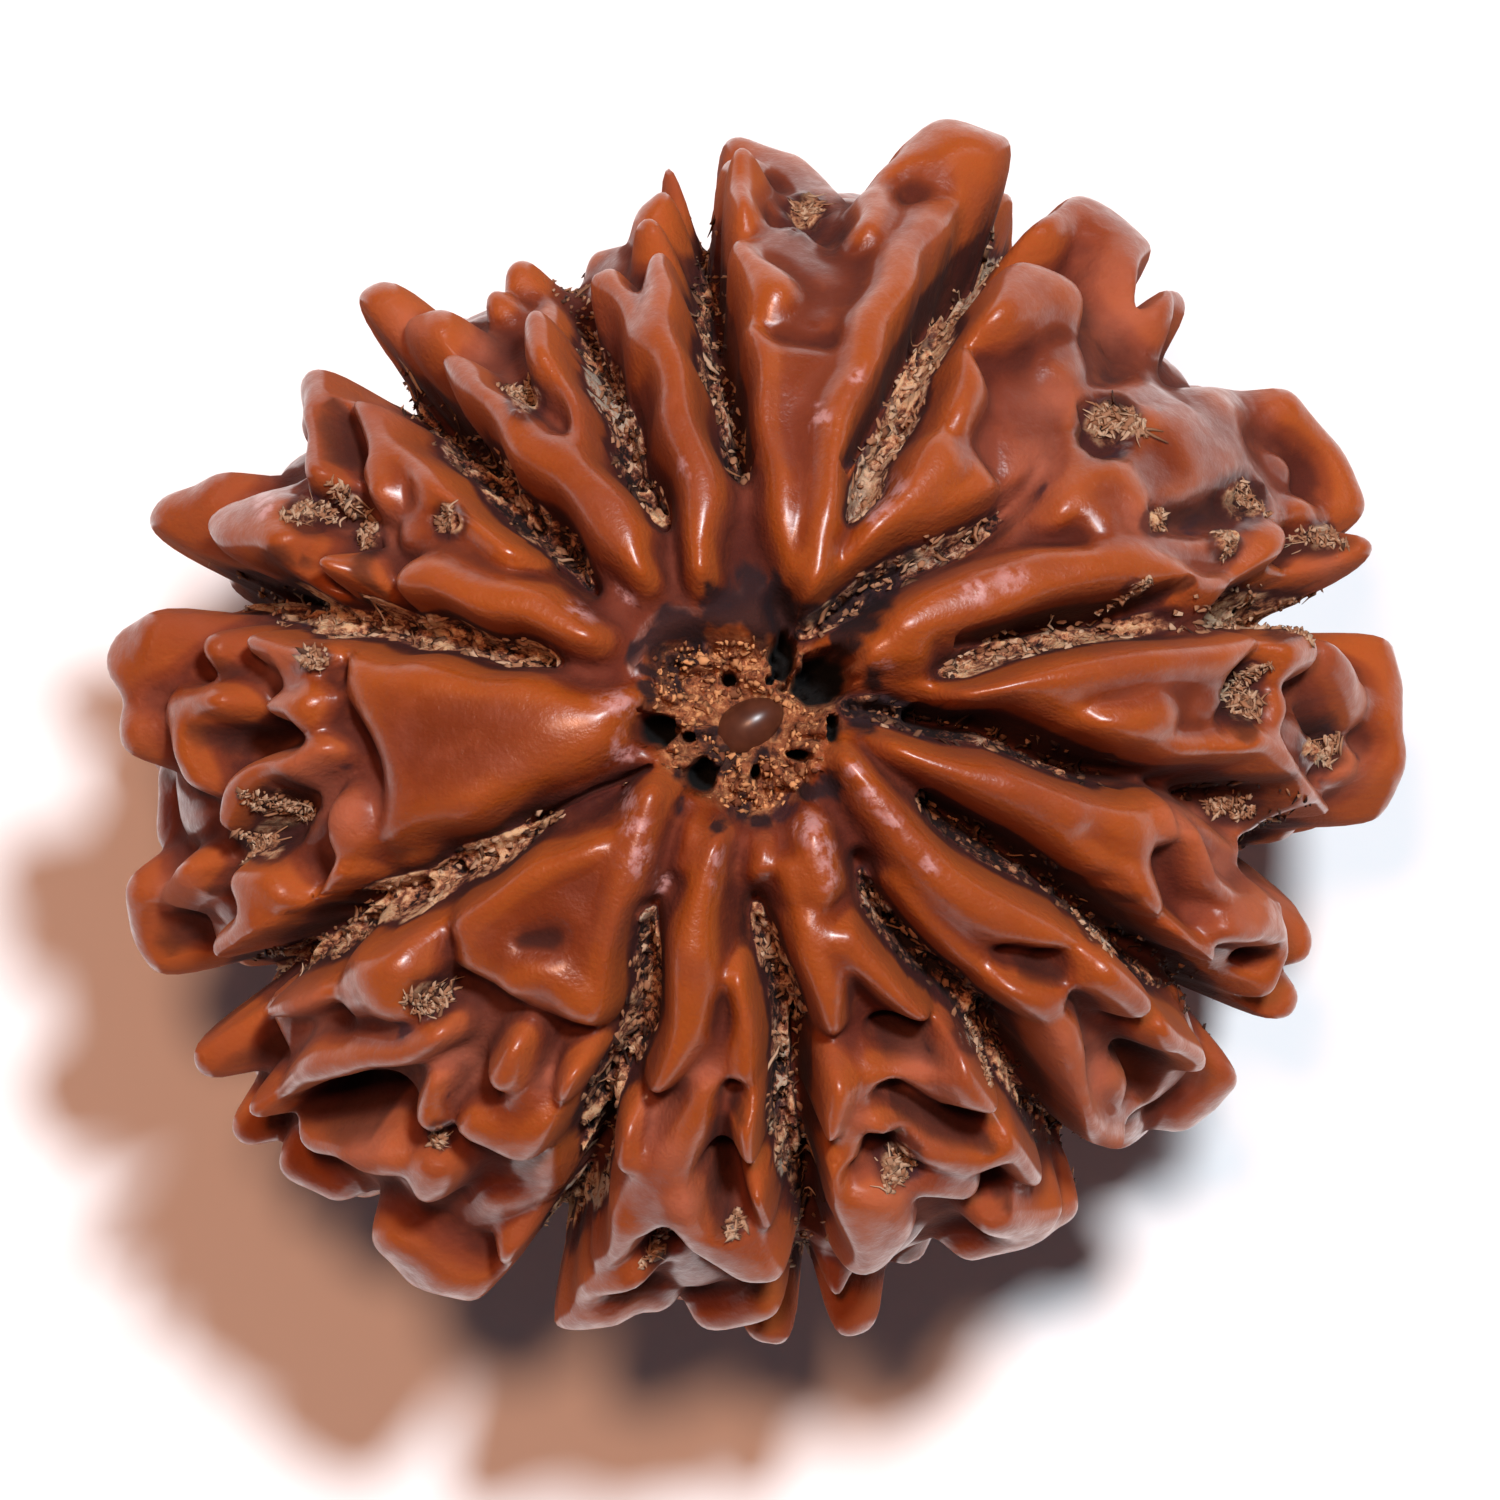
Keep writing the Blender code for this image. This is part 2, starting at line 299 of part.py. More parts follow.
# pits and deep gaps on the top: depth, then x, y and half width along the middle
PITS = [
    (1.2, [(-1.2, 1.1, 0.8), (0.0, 0.6, 1.2), (0.9, 1.0, 0.8)]),
    (1.0, [(-0.9, -0.2, 0.8), (0.0, -1.1, 0.8)]),
    (1.3, [(1.2, 0.95, 0.5), (1.5, 1.4, 0.35)]),
    (1.0, [(0.45, 1.25, 0.3), (0.5, 2.0, 0.3), (0.4, 2.5, 0.25)]),
    (1.1, [(-2.0, 0.05, 0.36)]),
    (1.0, [(-1.1, -0.85, 0.33)]),
    (0.7, [(6.95, 6.3, 0.42), (6.85, 5.8, 0.42)]),
    (0.6, [(7.9, 4.2, 0.25), (8.6, 4.2, 0.3), (9.3, 4.4, 0.42), (9.8, 4.7, 0.3)]),
    (0.7, [(11.1, 3.7, 0.33)]),
    (0.6, [(9.75, 1.1, 0.2), (9.45, 0.5, 0.25), (9.6, -0.1, 0.2)]),
    (0.7, [(10.95, 0.2, 0.22), (11.15, -0.5, 0.35)]),
    (1.3, [(8.4, -0.95, 0.25), (9.2, -1.1, 0.5), (9.7, -1.7, 0.45)]),
    (1.3, [(9.8, -2.6, 0.4), (10.4, -2.8, 0.45)]),
    (0.8, [(9.6, -4.45, 0.22), (9.9, -4.45, 0.2)]),
    (0.7, [(6.9, -3.25, 0.3)]),
    (0.9, [(5.1, -4.65, 0.22), (5.8, -4.75, 0.25)]),
    (1.1, [(2.4, -6.0, 0.26), (3.2, -6.05, 0.28)]),
    (0.9, [(2.6, -7.2, 0.2), (3.5, -7.8, 0.24), (4.5, -8.15, 0.22)]),
    (0.7, [(2.65, -8.4, 0.4)]),
    (1.3, [(4.75, -9.2, 0.26)]),
    (1.3, [(-0.85, -8.4, 0.26), (-0.65, -9.6, 0.32)]),
    (1.0, [(-0.5, -7.4, 0.25)]),
    (1.2, [(-1.95, -10.3, 0.32)]),
    (0.3, [(-4.1, -4.1, 0.3), (-4.7, -4.15, 0.2)]),
    (0.9, [(-9.7, -6.3, 0.4)]),
    (0.6, [(-6.5, -5.2, 0.36)]),
    (1.9, [(-8.9, -7.5, 0.3), (-7.9, -7.4, 0.42), (-7.2, -7.3, 0.32)]),
    (1.1, [(-8.5, 6.5, 0.16), (-8.4, 6.0, 0.2), (-8.15, 5.3, 0.22)]),
    (1.0, [(7.3, -6.2, 0.28), (7.8, -6.6, 0.34), (7.7, -7.2, 0.3)]),
    (0.7, [(-7.75, 2.85, 0.22), (-7.7, 3.5, 0.2)]),
    (0.7, [(-9.2, 3.4, 0.2), (-9.0, 2.75, 0.2)]),
    (1.0, [(-10.9, -0.1, 0.3), (-10.2, -0.2, 0.4), (-9.6, 0.0, 0.25)]),
    (0.7, [(-9.4, -1.3, 0.36), (-9.55, -2.0, 0.42), (-10.2, -2.25, 0.22)]),
    (1.2, [(-10.85, -3.15, 0.22)]),
    (0.7, [(-10.6, 1.2, 0.3)]),
    (0.8, [(-11.5, -3.7, 0.2), (-11.55, -4.3, 0.22)]),
    (0.6, [(-8.9, 4.3, 0.36), (-8.1, 4.45, 0.22)]),
    (0.5, [(-6.2, 4.2, 0.28)]),
    (0.6, [(-4.6, 6.5, 0.35)]),
    (0.6, [(0.9, 10.3, 0.35)]),
]


def round_table(table, angle):
    """The table's value at each angle in degrees, eased round the circle with no break."""
    angles = np.array([row[0] for row in table], float)
    values = np.array([row[1] for row in table], float)
    return np.interp(angle, angles, values, period=360.0)


def body_radius(angle):
    """The body's radius at each angle, averaged over 12 degrees so that it changes gently."""
    total = 0.0
    for step in (-6.0, -3.0, 0.0, 3.0, 6.0):
        total = total + round_table(BODY_RADIUS, angle + step)
    return total / 5.0


def body_point(angle, slope):
    """A point on the body and the way out of it there.

    The upright section is a squared circle: across = r cos(s)^(2/n), up = h sin(s)^(2/n).
    The way out leans by the powers n - 1 of the two, and is turned to the same angle.
    """
    radius = body_radius(angle)
    across = np.abs(np.cos(slope)) ** (2.0 / ROUNDNESS)
    up = np.sign(np.sin(slope)) * np.abs(np.sin(slope)) ** (2.0 / ROUNDNESS)
    out_across = across ** (ROUNDNESS - 1.0) / radius
    out_up = np.sign(up) * np.abs(up) ** (ROUNDNESS - 1.0) / HALF_HEIGHT
    length = np.hypot(out_across, out_up)
    turn = np.radians(angle)
    point = np.stack([radius * across * np.cos(turn), radius * across * np.sin(turn),
                      HALF_HEIGHT * up], axis=-1)
    out = np.stack([out_across * np.cos(turn), out_across * np.sin(turn), out_up], axis=-1)
    return point, out / length[..., None]


SLOPES = np.linspace(0.0, math.pi / 2, 400)


def under_seen_place(x, y, height):
    """The point of the body that lies under a place seen from above, at that height over it."""
    angle = math.degrees(math.atan2(y, x))
    points, outs = body_point(np.full(SLOPES.shape, angle), SLOPES)
    reach = np.hypot(points[:, 0] + height * outs[:, 0], points[:, 1] + height * outs[:, 1])
    slope = np.interp(math.hypot(x, y), reach[::-1], SLOPES[::-1])
    return body_point(np.array(angle), np.array(slope))[0]


def under_surface(seen, places, x, y):
    """The point of the body whose raised point is the one seen from above nearest to x, y."""
    gap = np.hypot(seen[:, 0] - x, seen[:, 1] - y) - 0.03 * seen[:, 2]
    return places[np.argmin(gap)]


def at_level(x, y, level):
    """The point of the body at that level in the direction of x, y, and the height of the tip."""
    angle = math.degrees(math.atan2(y, x))
    up = abs(level) / HALF_HEIGHT
    slope = math.copysign(math.asin(up ** (ROUNDNESS / 2.0)), level)
    point, out = body_point(np.array(angle), np.array(slope))
    height = (math.hypot(x, y) - math.hypot(point[0], point[1])) / math.hypot(out[0], out[1])
    return point, height - BODY_HEIGHT


def add_stroke(places, field, points, widths, heights, blunt, sharp):
    """Raises the field to the tallest of itself and a rounded stroke along the points.

    Over the middle line the stroke has its height, and it falls to nothing at the half width
    as height * (1 - (distance / half width)^blunt)^sharp. The joining is a smooth maximum.
    """
    points = np.array(points)
    low = points.min(axis=0) - max(widths)
    high = points.max(axis=0) + max(widths)
    near = np.nonzero(np.all((places > low) & (places < high), axis=1))[0]
    if not len(near):
        return
    here = places[near]
    best = np.zeros(len(near))
    for index in range(max(1, len(points) - 1)):
        start = points[index]
        other = min(index + 1, len(points) - 1)
        along = points[other] - start
        share = np.clip((here - start) @ along / max(along @ along, 1e-9), 0.0, 1.0)
        gap = np.linalg.norm(here - start - share[:, None] * along, axis=1)
        width = widths[index] + share * (widths[other] - widths[index])
        height = heights[index] + share * (heights[other] - heights[index])
        best = np.maximum(best, height * np.clip(1.0 - (gap / width) ** blunt, 0.0, 1.0) ** sharp)
    field[near] = (field[near] ** 6 + best ** 6) ** (1.0 / 6.0)


def wandering(places):
    """A small shift of each place, so that no ridge or groove runs quite straight.

    Along each axis it is the sum of a slow sine wave and a quicker, lower one of the other two.
    """
    x, y, z = places[..., 0], places[..., 1], places[..., 2]
    slow = np.stack([np.sin(1.3 * y + 0.7 * z), np.sin(1.2 * z - 0.8 * x + 1.0),
                     np.sin(1.4 * x + 0.6 * y + 2.0)], axis=-1)
    quick = np.stack([np.sin(3.1 * z - 1.9 * y + 0.5), np.sin(2.9 * x + 2.0 * z),
                      np.sin(3.3 * y - 1.6 * x + 1.5)], axis=-1)
    return WANDER * (slow + 0.6 * quick)


def inside_depth(x, y, corners):
    """How far inside the outline each place is, and nought outside it."""
    corners = np.array(corners)
    after = np.roll(corners, -1, axis=0)
    nearest = np.full(len(x), 1e9)
    crossings = np.zeros(len(x), int)
    for (ax, ay), (bx, by) in zip(corners, after):
        dx = bx - ax
        dy = by - ay
        share = np.clip(((x - ax) * dx + (y - ay) * dy) / (dx * dx + dy * dy), 0.0, 1.0)
        nearest = np.minimum(nearest, np.hypot(x - ax - share * dx, y - ay - share * dy))
        spans = (ay > y) != (by > y)
        crossings += spans & (x < ax + (y - ay) * dx / (dy if dy else 1e-9))
    return np.where(crossings % 2 == 1, nearest, 0.0)


def groove_path(groove):
    """A groove's points on the body: over the top as placed, then down the side to the far end."""
    points = [under_seen_place(x, y, 0.3) for x, y, width in groove]
    widths = [width for x, y, width in groove]
    x, y, width = groove[-1]
    angle = math.degrees(math.atan2(y, x))
    last = points[-1][2] / HALF_HEIGHT
    slope = math.asin(max(last, 0.0) ** (ROUNDNESS / 2.0))
    for step in range(1, 15):
        lower = slope + (-1.42 - slope) * step / 14.0
        sway = 1.3 * math.sin(step * 0.9 + x) * math.cos(lower)
        points.append(body_point(np.array(angle + sway), np.array(lower))[0])
        widths.append(width)
    return points, widths


def groove_angles():
    """The direction in which each groove leaves the top, in degrees."""
    return sorted(math.degrees(math.atan2(g[-1][1], g[-1][0])) % 360 for g in GROOVES)


def seeded_knobs():
    """Ridges and knobs of the side and the underside: points, half widths and heights."""
    draw = np.random.default_rng(SEED)
    knobs = []
    angles = groove_angles()
    for start, after in zip(angles, angles[1:] + [angles[0] + 360.0]):
        for row in range(9):
            slope = 0.30 - 0.2 * row
            girth = 11.0 * math.cos(slope) * math.radians(after - start)
            count = max(1, int(girth / 1.55))
            for index in range(count):
                share = (index + 0.5 + draw.uniform(-0.22, 0.22)) / count
                angle = start + (after - start) * (0.12 + 0.76 * share)
                middle = slope + draw.uniform(-0.06, 0.06)
                lean = draw.uniform(-0.5, 0.5)
                length = draw.uniform(0.02, 0.1)
                height = draw.uniform(0.7, 1.5) if slope < -0.15 else draw.uniform(0.3, 0.6)
                room = float(round_table(REACH, angle) - body_radius(angle)) - BODY_HEIGHT
                height = min(height, max(0.2, room / max(math.cos(middle), 0.3)))
                points = []
                for end in (-1.0, 1.0):
                    turn = angle + end * length * math.degrees(lean) / math.cos(middle)
                    points.append(body_point(np.array(turn),
                                             np.array(middle + end * length))[0])
                width = draw.uniform(0.6, 0.95)
                knobs.append((points, [width, width * draw.uniform(0.7, 1.0)],
                              [height, height * draw.uniform(0.7, 1.0)]))
    return knobs


def seeded_pits():
    """Small pits of the side and the underside: point, half width and depth."""
    draw = np.random.default_rng(SEED + 1)
    pits = []
    for _ in range(90):
        angle = draw.uniform(0.0, 360.0)
        slope = math.asin(draw.uniform(-0.97, 0.1))
        pits.append((body_point(np.array(angle), np.array(slope))[0],
                     draw.uniform(0.25, 0.45), draw.uniform(0.5, 0.9)))
    return pits


def surface_height(places, outs):
    """The height of the finished surface over each point of the body."""
    count = len(places)
    moved = places + wandering(places)
    raised = np.zeros(count)
    for height, path in RIDGES:
        points = [under_seen_place(x, y, BODY_HEIGHT + 0.9 * height) for x, y, width in path]
        add_stroke(moved, raised, points, [width * RIDGE_WIDER for x, y, width in path],
                   [height] * len(path), *RIDGE_SHAPE)
    for width, path in SIDE_KNOBS:
        pairs = [at_level(x, y, level) for x, y, level in path]
        add_stroke(moved, raised, [point for point, height in pairs], [width] * len(path),
                   [height for point, height in pairs], *KNOB_SHAPE)
    for points, widths, heights in seeded_knobs():
        add_stroke(places, raised, points, widths, heights, *SEEDED_SHAPE)
    top = places[:, 2] > 1.0
    for height, edge, corners in PLATES:
        seen = moved[top] + outs[top] * (BODY_HEIGHT + height)
        depth = inside_depth(seen[:, 0], seen[:, 1], corners)
        rise = height * (1.0 - (1.0 - np.clip(depth / edge, 0.0, 1.0)) ** 2) ** 0.5
        raised[top] = (raised[top] ** 6 + rise ** 6) ** (1.0 / 6.0)
    cut = np.zeros(count)
    for groove in GROOVES:
        points, widths = groove_path(groove)
        add_stroke(moved, cut, points, [width * GROOVE_LIP for width in widths],
                   [1.0] * len(points), *GROOVE_SHAPE)
    gap = np.sqrt(1.0 - np.clip(cut, 0.0, 1.0))
    climb = np.clip((gap - GROOVE_FLOOR) / (1.0 - GROOVE_FLOOR), 0.0, 1.0)
    cut = 1.0 - np.sqrt(1.0 - (1.0 - climb) ** 2)
    pits = np.zeros(count)
    seen = places + outs * (BODY_HEIGHT + raised)[:, None]
    for depth, path in PITS:
        points = [under_surface(seen, places, x, y) for x, y, width in path]
        add_stroke(places, pits, points, [width * PIT_WIDER for x, y, width in path],
                   [depth] * len(path), *PIT_SHAPE)
    for point, width, depth in seeded_pits():
        add_stroke(places, pits, [point], [width], [depth], *PIT_SHAPE)
    height = (BODY_HEIGHT + raised) * (1.0 - cut) - GROOVE_DEPTH * cut
    under = places[:, 2] < 0.0
    across = np.hypot(places[:, 0], places[:, 1])
    scar = np.where(under, np.clip(1.0 - (across / SCAR_RADIUS) ** 2, 0.0, 1.0), 0.0)
    return height - pits * (1.0 - 0.6 * cut) - SCAR_DEPTH * scar


def bead_surface():
    """A round ball of rings whose points are moved to the body and raised to the surface."""
    ball = bmesh.new()
    bmesh.ops.create_uvsphere(ball, u_segments=SEGMENTS, v_segments=RINGS, radius=1.0)
    ball.verts.ensure_lookup_table()
    unit = np.array([vertex.co[:] for vertex in ball.verts])
    angle = np.degrees(np.arctan2(unit[:, 1], unit[:, 0]))
    slope = np.arcsin(np.clip(unit[:, 2], -1.0, 1.0))
    places, outs = body_point(angle, slope)
    points = places + outs * surface_height(places, outs)[:, None]
    points[:, 2] = np.maximum(points[:, 2], REST_LEVEL) - REST_LEVEL
    points[:, 0] -= CENTRE_X
    points[:, 1] -= CENTRE_Y
    for vertex, point in zip(ball.verts, points * 0.001):
        vertex.co = point
    mesh = bpy.data.meshes.new("bead")
    bmesh.ops.triangulate(ball, faces=ball.faces[:])
    ball.to_mesh(mesh)
    ball.free()
    return mesh


def bead_material():
    """The waxy brown of the dry stone."""
    material = bpy.data.materials.new("stone_brown")
    material.use_nodes = True
    shader = material.node_tree.nodes["Principled BSDF"]
    shader.inputs["Base Color"].default_value = (0.40, 0.10, 0.028, 1.0)
    shader.inputs["Roughness"].default_value = 0.42
    shader.inputs["Metallic"].default_value = 0.0
    return material


def main():
    """Clears the scene and makes the one bead."""
    for old in list(bpy.data.objects):
        bpy.data.objects.remove(old, do_unlink=True)
    group = bpy.data.collections.new("rudraksha_bead")
    bpy.context.scene.collection.children.link(group)
    mesh = bead_surface()
    bead = bpy.data.objects.new("bead", mesh)
    group.objects.link(bead)
    mesh.materials.append(bead_material())
    for face in mesh.polygons:
        face.use_smooth = True
    ease = bead.modifiers.new("eased_edges", "SMOOTH")
    ease.factor = 0.5
    ease.iterations = 3
    thin = bead.modifiers.new("fewer_faces", "DECIMATE")
    thin.ratio = TRIANGLES / len(mesh.polygons)
    graph = bpy.context.evaluated_depsgraph_get()
    bead.data = bpy.data.meshes.new_from_object(bead.evaluated_get(graph))
    bead.modifiers.clear()
    for vertex in bead.data.vertices:
        if vertex.co.z < FLAT_BAND * 0.001:
            vertex.co.z = 0.0


main()
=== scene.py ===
"""The look of the rudraksha bead: its waxy surface, the dried fibre in its grooves and the pith.

The body, the lobes and the grooves follow the same named sizes as the solid. Lengths in the
tables are millimetres, and everything is turned to metres when its mesh is made.
"""

import math

import bpy
import numpy as np
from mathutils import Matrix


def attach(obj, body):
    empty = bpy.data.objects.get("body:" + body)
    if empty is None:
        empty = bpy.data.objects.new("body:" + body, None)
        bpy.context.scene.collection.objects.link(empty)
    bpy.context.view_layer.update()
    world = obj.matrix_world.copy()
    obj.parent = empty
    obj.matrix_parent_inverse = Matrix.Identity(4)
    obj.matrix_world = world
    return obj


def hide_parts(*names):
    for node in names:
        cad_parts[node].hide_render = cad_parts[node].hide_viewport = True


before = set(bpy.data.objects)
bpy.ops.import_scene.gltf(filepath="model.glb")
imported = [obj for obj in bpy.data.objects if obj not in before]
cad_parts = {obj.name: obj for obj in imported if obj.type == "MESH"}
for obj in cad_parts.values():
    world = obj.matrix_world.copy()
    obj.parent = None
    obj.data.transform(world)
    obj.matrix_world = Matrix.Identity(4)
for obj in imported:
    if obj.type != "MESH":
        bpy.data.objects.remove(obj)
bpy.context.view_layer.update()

# overall form
HALF_HEIGHT = 8.8
ROUNDNESS = 2.35
BODY_HEIGHT = 1.0
GROOVE_DEPTH = 0.5
GROOVE_LIP = 1.8
GROOVE_FLOOR = 0.4
SCAR_RADIUS = 2.3
SCAR_DEPTH = 1.6
REST_LEVEL = -10.35
FLAT_BAND = 0.06
WANDER = 0.12
RIDGE_WIDER = 1.08
PIT_WIDER = 1.15
CENTRE_X = -0.052
CENTRE_Y = -0.023
SEED = 13

# how blunt and how steep the strokes are, as the two powers in add_stroke
RIDGE_SHAPE = (3.4, 0.5)
KNOB_SHAPE = (3.8, 0.5)
SEEDED_SHAPE = (2.2, 0.7)
GROOVE_SHAPE = (2.0, 1.0)
PIT_SHAPE = (2.0, 0.7)

# radius of the body under the lobes, by angle round the axis
BODY_RADIUS = [
    (0, 9.9), (15, 10.0), (32, 9.9), (45, 9.5), (59, 9.8), (75, 9.6), (90, 9.3), (104, 8.9),
    (120, 8.8), (135, 9.1), (150, 9.3), (163, 10.1), (174, 10.4), (190, 10.5), (206, 10.5),
    (222, 10.7), (238, 10.3), (248, 9.9), (262, 9.9), (275, 9.8), (292, 9.4), (305, 9.5),
    (318, 9.6), (332, 9.6), (345, 9.6),
]

# farthest reach of the lobes from the axis, by angle
REACH = [
    (0, 13.0), (10, 12.4), (18, 12.6), (26, 12.7), (35, 12.3), (45, 10.9), (52, 12.0),
    (58, 11.5), (67, 12.6), (72, 12.6), (78, 11.0), (90, 11.8), (97, 11.6), (102, 10.4),
    (108, 9.9), (117, 10.0), (126, 9.8), (131, 11.4), (137, 10.5), (142, 11.2), (149, 10.1),
    (158, 12.2), (166, 11.9), (174, 12.9), (190, 12.2), (198, 12.8), (205, 12.4), (211, 12.6),
    (219, 12.6), (230, 13.0), (240, 12.6), (250, 12.6), (256, 12.6), (266, 12.0), (275, 12.3),
    (284, 11.2), (290, 10.4), (296, 11.8), (303, 10.7), (310, 11.5), (316, 11.0), (322, 12.3),
    (328, 10.9), (338, 11.9), (345, 10.9), (352, 12.6),
]

# grooves on the top, from the hollow outwards: x, y and half width
GROOVES = [
    [(-0.3, 4.3, 0.1), (-0.45, 5.0, 0.25), (-0.6, 6.0, 0.35), (-0.75, 7.2, 0.42),
     (-0.85, 8.5, 0.38), (-1.1, 9.6, 0.26)],
    [(1.55, 3.9, 0.1), (1.75, 4.5, 0.35), (2.3, 5.5, 0.42), (2.8, 6.4, 0.42), (3.3, 7.3, 0.42),
     (4.1, 8.6, 0.36), (5.0, 9.3, 0.3), (6.1, 9.75, 0.26)],
    [(0.9, 1.9, 0.25), (1.7, 2.35, 0.35), (2.7, 3.1, 0.35), (3.5, 3.65, 0.3), (4.3, 4.05, 0.22),
     (5.0, 4.4, 0.08), (5.7, 5.6, 0.04), (6.2, 7.0, 0.04), (6.7, 7.9, 0.2)],
    [(3.3, 1.25, 0.1), (4.0, 1.4, 0.3), (5.5, 1.75, 0.36), (6.9, 2.0, 0.36), (8.9, 2.3, 0.4),
     (11.0, 2.3, 0.4)],
    [(1.9, 0.3, 0.3), (3.2, 0.3, 0.35), (4.4, 0.05, 0.38), (5.4, -0.45, 0.42),
     (6.4, -0.85, 0.38), (7.2, -0.85, 0.25), (7.7, -0.8, 0.05), (8.4, -1.0, 0.05),
     (9.1, -1.3, 0.3), (9.9, -2.2, 0.4), (10.5, -2.8, 0.4)],
    [(2.6, -0.95, 0.1), (3.2, -1.35, 0.3), (4.3, -2.05, 0.36), (5.3, -2.8, 0.4),
     (6.3, -3.55, 0.42), (7.5, -4.55, 0.45), (8.9, -5.6, 0.4)],
    [(1.9, -2.5, 0.1), (2.3, -3.3, 0.25), (3.1, -4.35, 0.38), (4.1, -5.4, 0.42),
     (5.0, -6.8, 0.42), (5.8, -8.0, 0.36), (6.7, -8.75, 0.24)],
    [(0.1, -3.4, 0.1), (0.2, -4.1, 0.28), (0.35, -5.2, 0.4), (0.5, -6.6, 0.42),
     (0.65, -7.8, 0.4), (0.8, -9.0, 0.38), (0.85, -10.4, 0.28)],
    [(-1.9, -3.3, 0.1), (-2.05, -4.1, 0.28), (-2.3, -5.2, 0.4), (-2.6, -6.3, 0.4),
     (-2.85, -7.3, 0.4), (-3.3, -8.4, 0.38), (-3.8, -9.5, 0.38), (-4.1, -10.4, 0.3)],
    [(-2.2, -0.75, 0.05), (-3.5, -1.25, 0.12), (-4.5, -1.85, 0.32), (-6.0, -2.75, 0.4),
     (-7.3, -3.3, 0.4), (-8.5, -4.05, 0.36), (-9.6, -4.8, 0.36), (-11.0, -5.35, 0.35)],
    [(-3.6, 1.3, 0.08), (-4.4, 1.55, 0.3), (-5.4, 1.8, 0.36), (-6.6, 2.1, 0.38),
     (-8.1, 2.3, 0.45), (-9.6, 2.6, 0.45), (-11.3, 2.7, 0.4)],
    [(-3.1, 2.8, 0.1), (-3.7, 3.35, 0.3), (-4.5, 4.15, 0.38), (-5.5, 5.1, 0.42),
     (-6.4, 6.0, 0.42), (-7.5, 6.9, 0.4)],
    [(-2.0, 3.7, 0.1), (-2.25, 4.4, 0.3), (-2.65, 5.4, 0.38), (-2.95, 6.6, 0.36),
     (-3.3, 7.7, 0.34), (-3.6, 8.7, 0.3)],
]

# flat-topped plates on the top: height, width of the rounded edge, corners x, y
PLATES = [
    (0.75, 0.4, [(-0.3, 8.2), (-0.1, 5.0), (0.3, 4.0), (0.9, 2.6), (1.3, 2.3), (1.5, 4.6),
                 (1.9, 6.0), (2.6, 8.2), (1.4, 7.8)]),
    (0.6, 0.5, [(-0.9, 9.9), (-0.4, 8.0), (1.4, 7.6), (2.7, 8.2), (3.3, 9.8), (2.2, 9.7),
                (1.2, 9.9), (0.3, 10.3)]),
    (0.8, 0.45, [(1.9, 2.8), (2.4, 4.6), (3.0, 6.0), (4.3, 6.0), (5.1, 4.7), (3.6, 4.0)]),
    (0.35, 0.6, [(4.0, 6.0), (4.7, 8.0), (6.6, 8.3), (7.5, 7.8), (6.8, 6.8), (6.0, 5.6),
                 (5.1, 4.5)]),
    (0.75, 0.5, [(5.6, 4.5), (6.1, 6.9), (7.6, 7.6), (8.2, 7.1), (9.3, 6.95), (10.5, 6.9),
                 (11.3, 6.1), (11.9, 5.0), (11.7, 4.0), (9.0, 3.3), (7.0, 3.2)]),
    (0.8, 0.45, [(2.8, -0.6), (4.6, -0.8), (6.2, -1.4), (7.7, -1.2), (8.1, -2.3), (8.4, -3.6),
                 (7.7, -4.0), (6.6, -3.3), (5.4, -2.3), (4.0, -1.5)]),
    (0.9, 0.5, [(-2.1, -1.0), (-3.6, -1.9), (-5.0, -2.7), (-6.2, -3.5), (-6.4, -4.8),
                (-5.4, -5.1), (-4.7, -5.7), (-4.0, -6.1), (-3.1, -6.2), (-2.6, -5.5),
                (-2.3, -4.5), (-2.1, -3.0)]),
    (1.1, 0.8, [(-8.6, -4.2), (-7.7, -3.6), (-6.4, -3.8), (-6.5, -5.2), (-7.0, -6.0),
                (-8.4, -6.1), (-8.9, -5.3)]),
    (0.95, 0.7, [(-2.1, 0.8), (-5.0, 1.45), (-8.5, 1.95), (-8.6, 0.6), (-8.0, -0.6),
                 (-7.6, -2.4), (-6.0, -2.0), (-4.2, -1.0), (-2.8, -0.35)]),
]

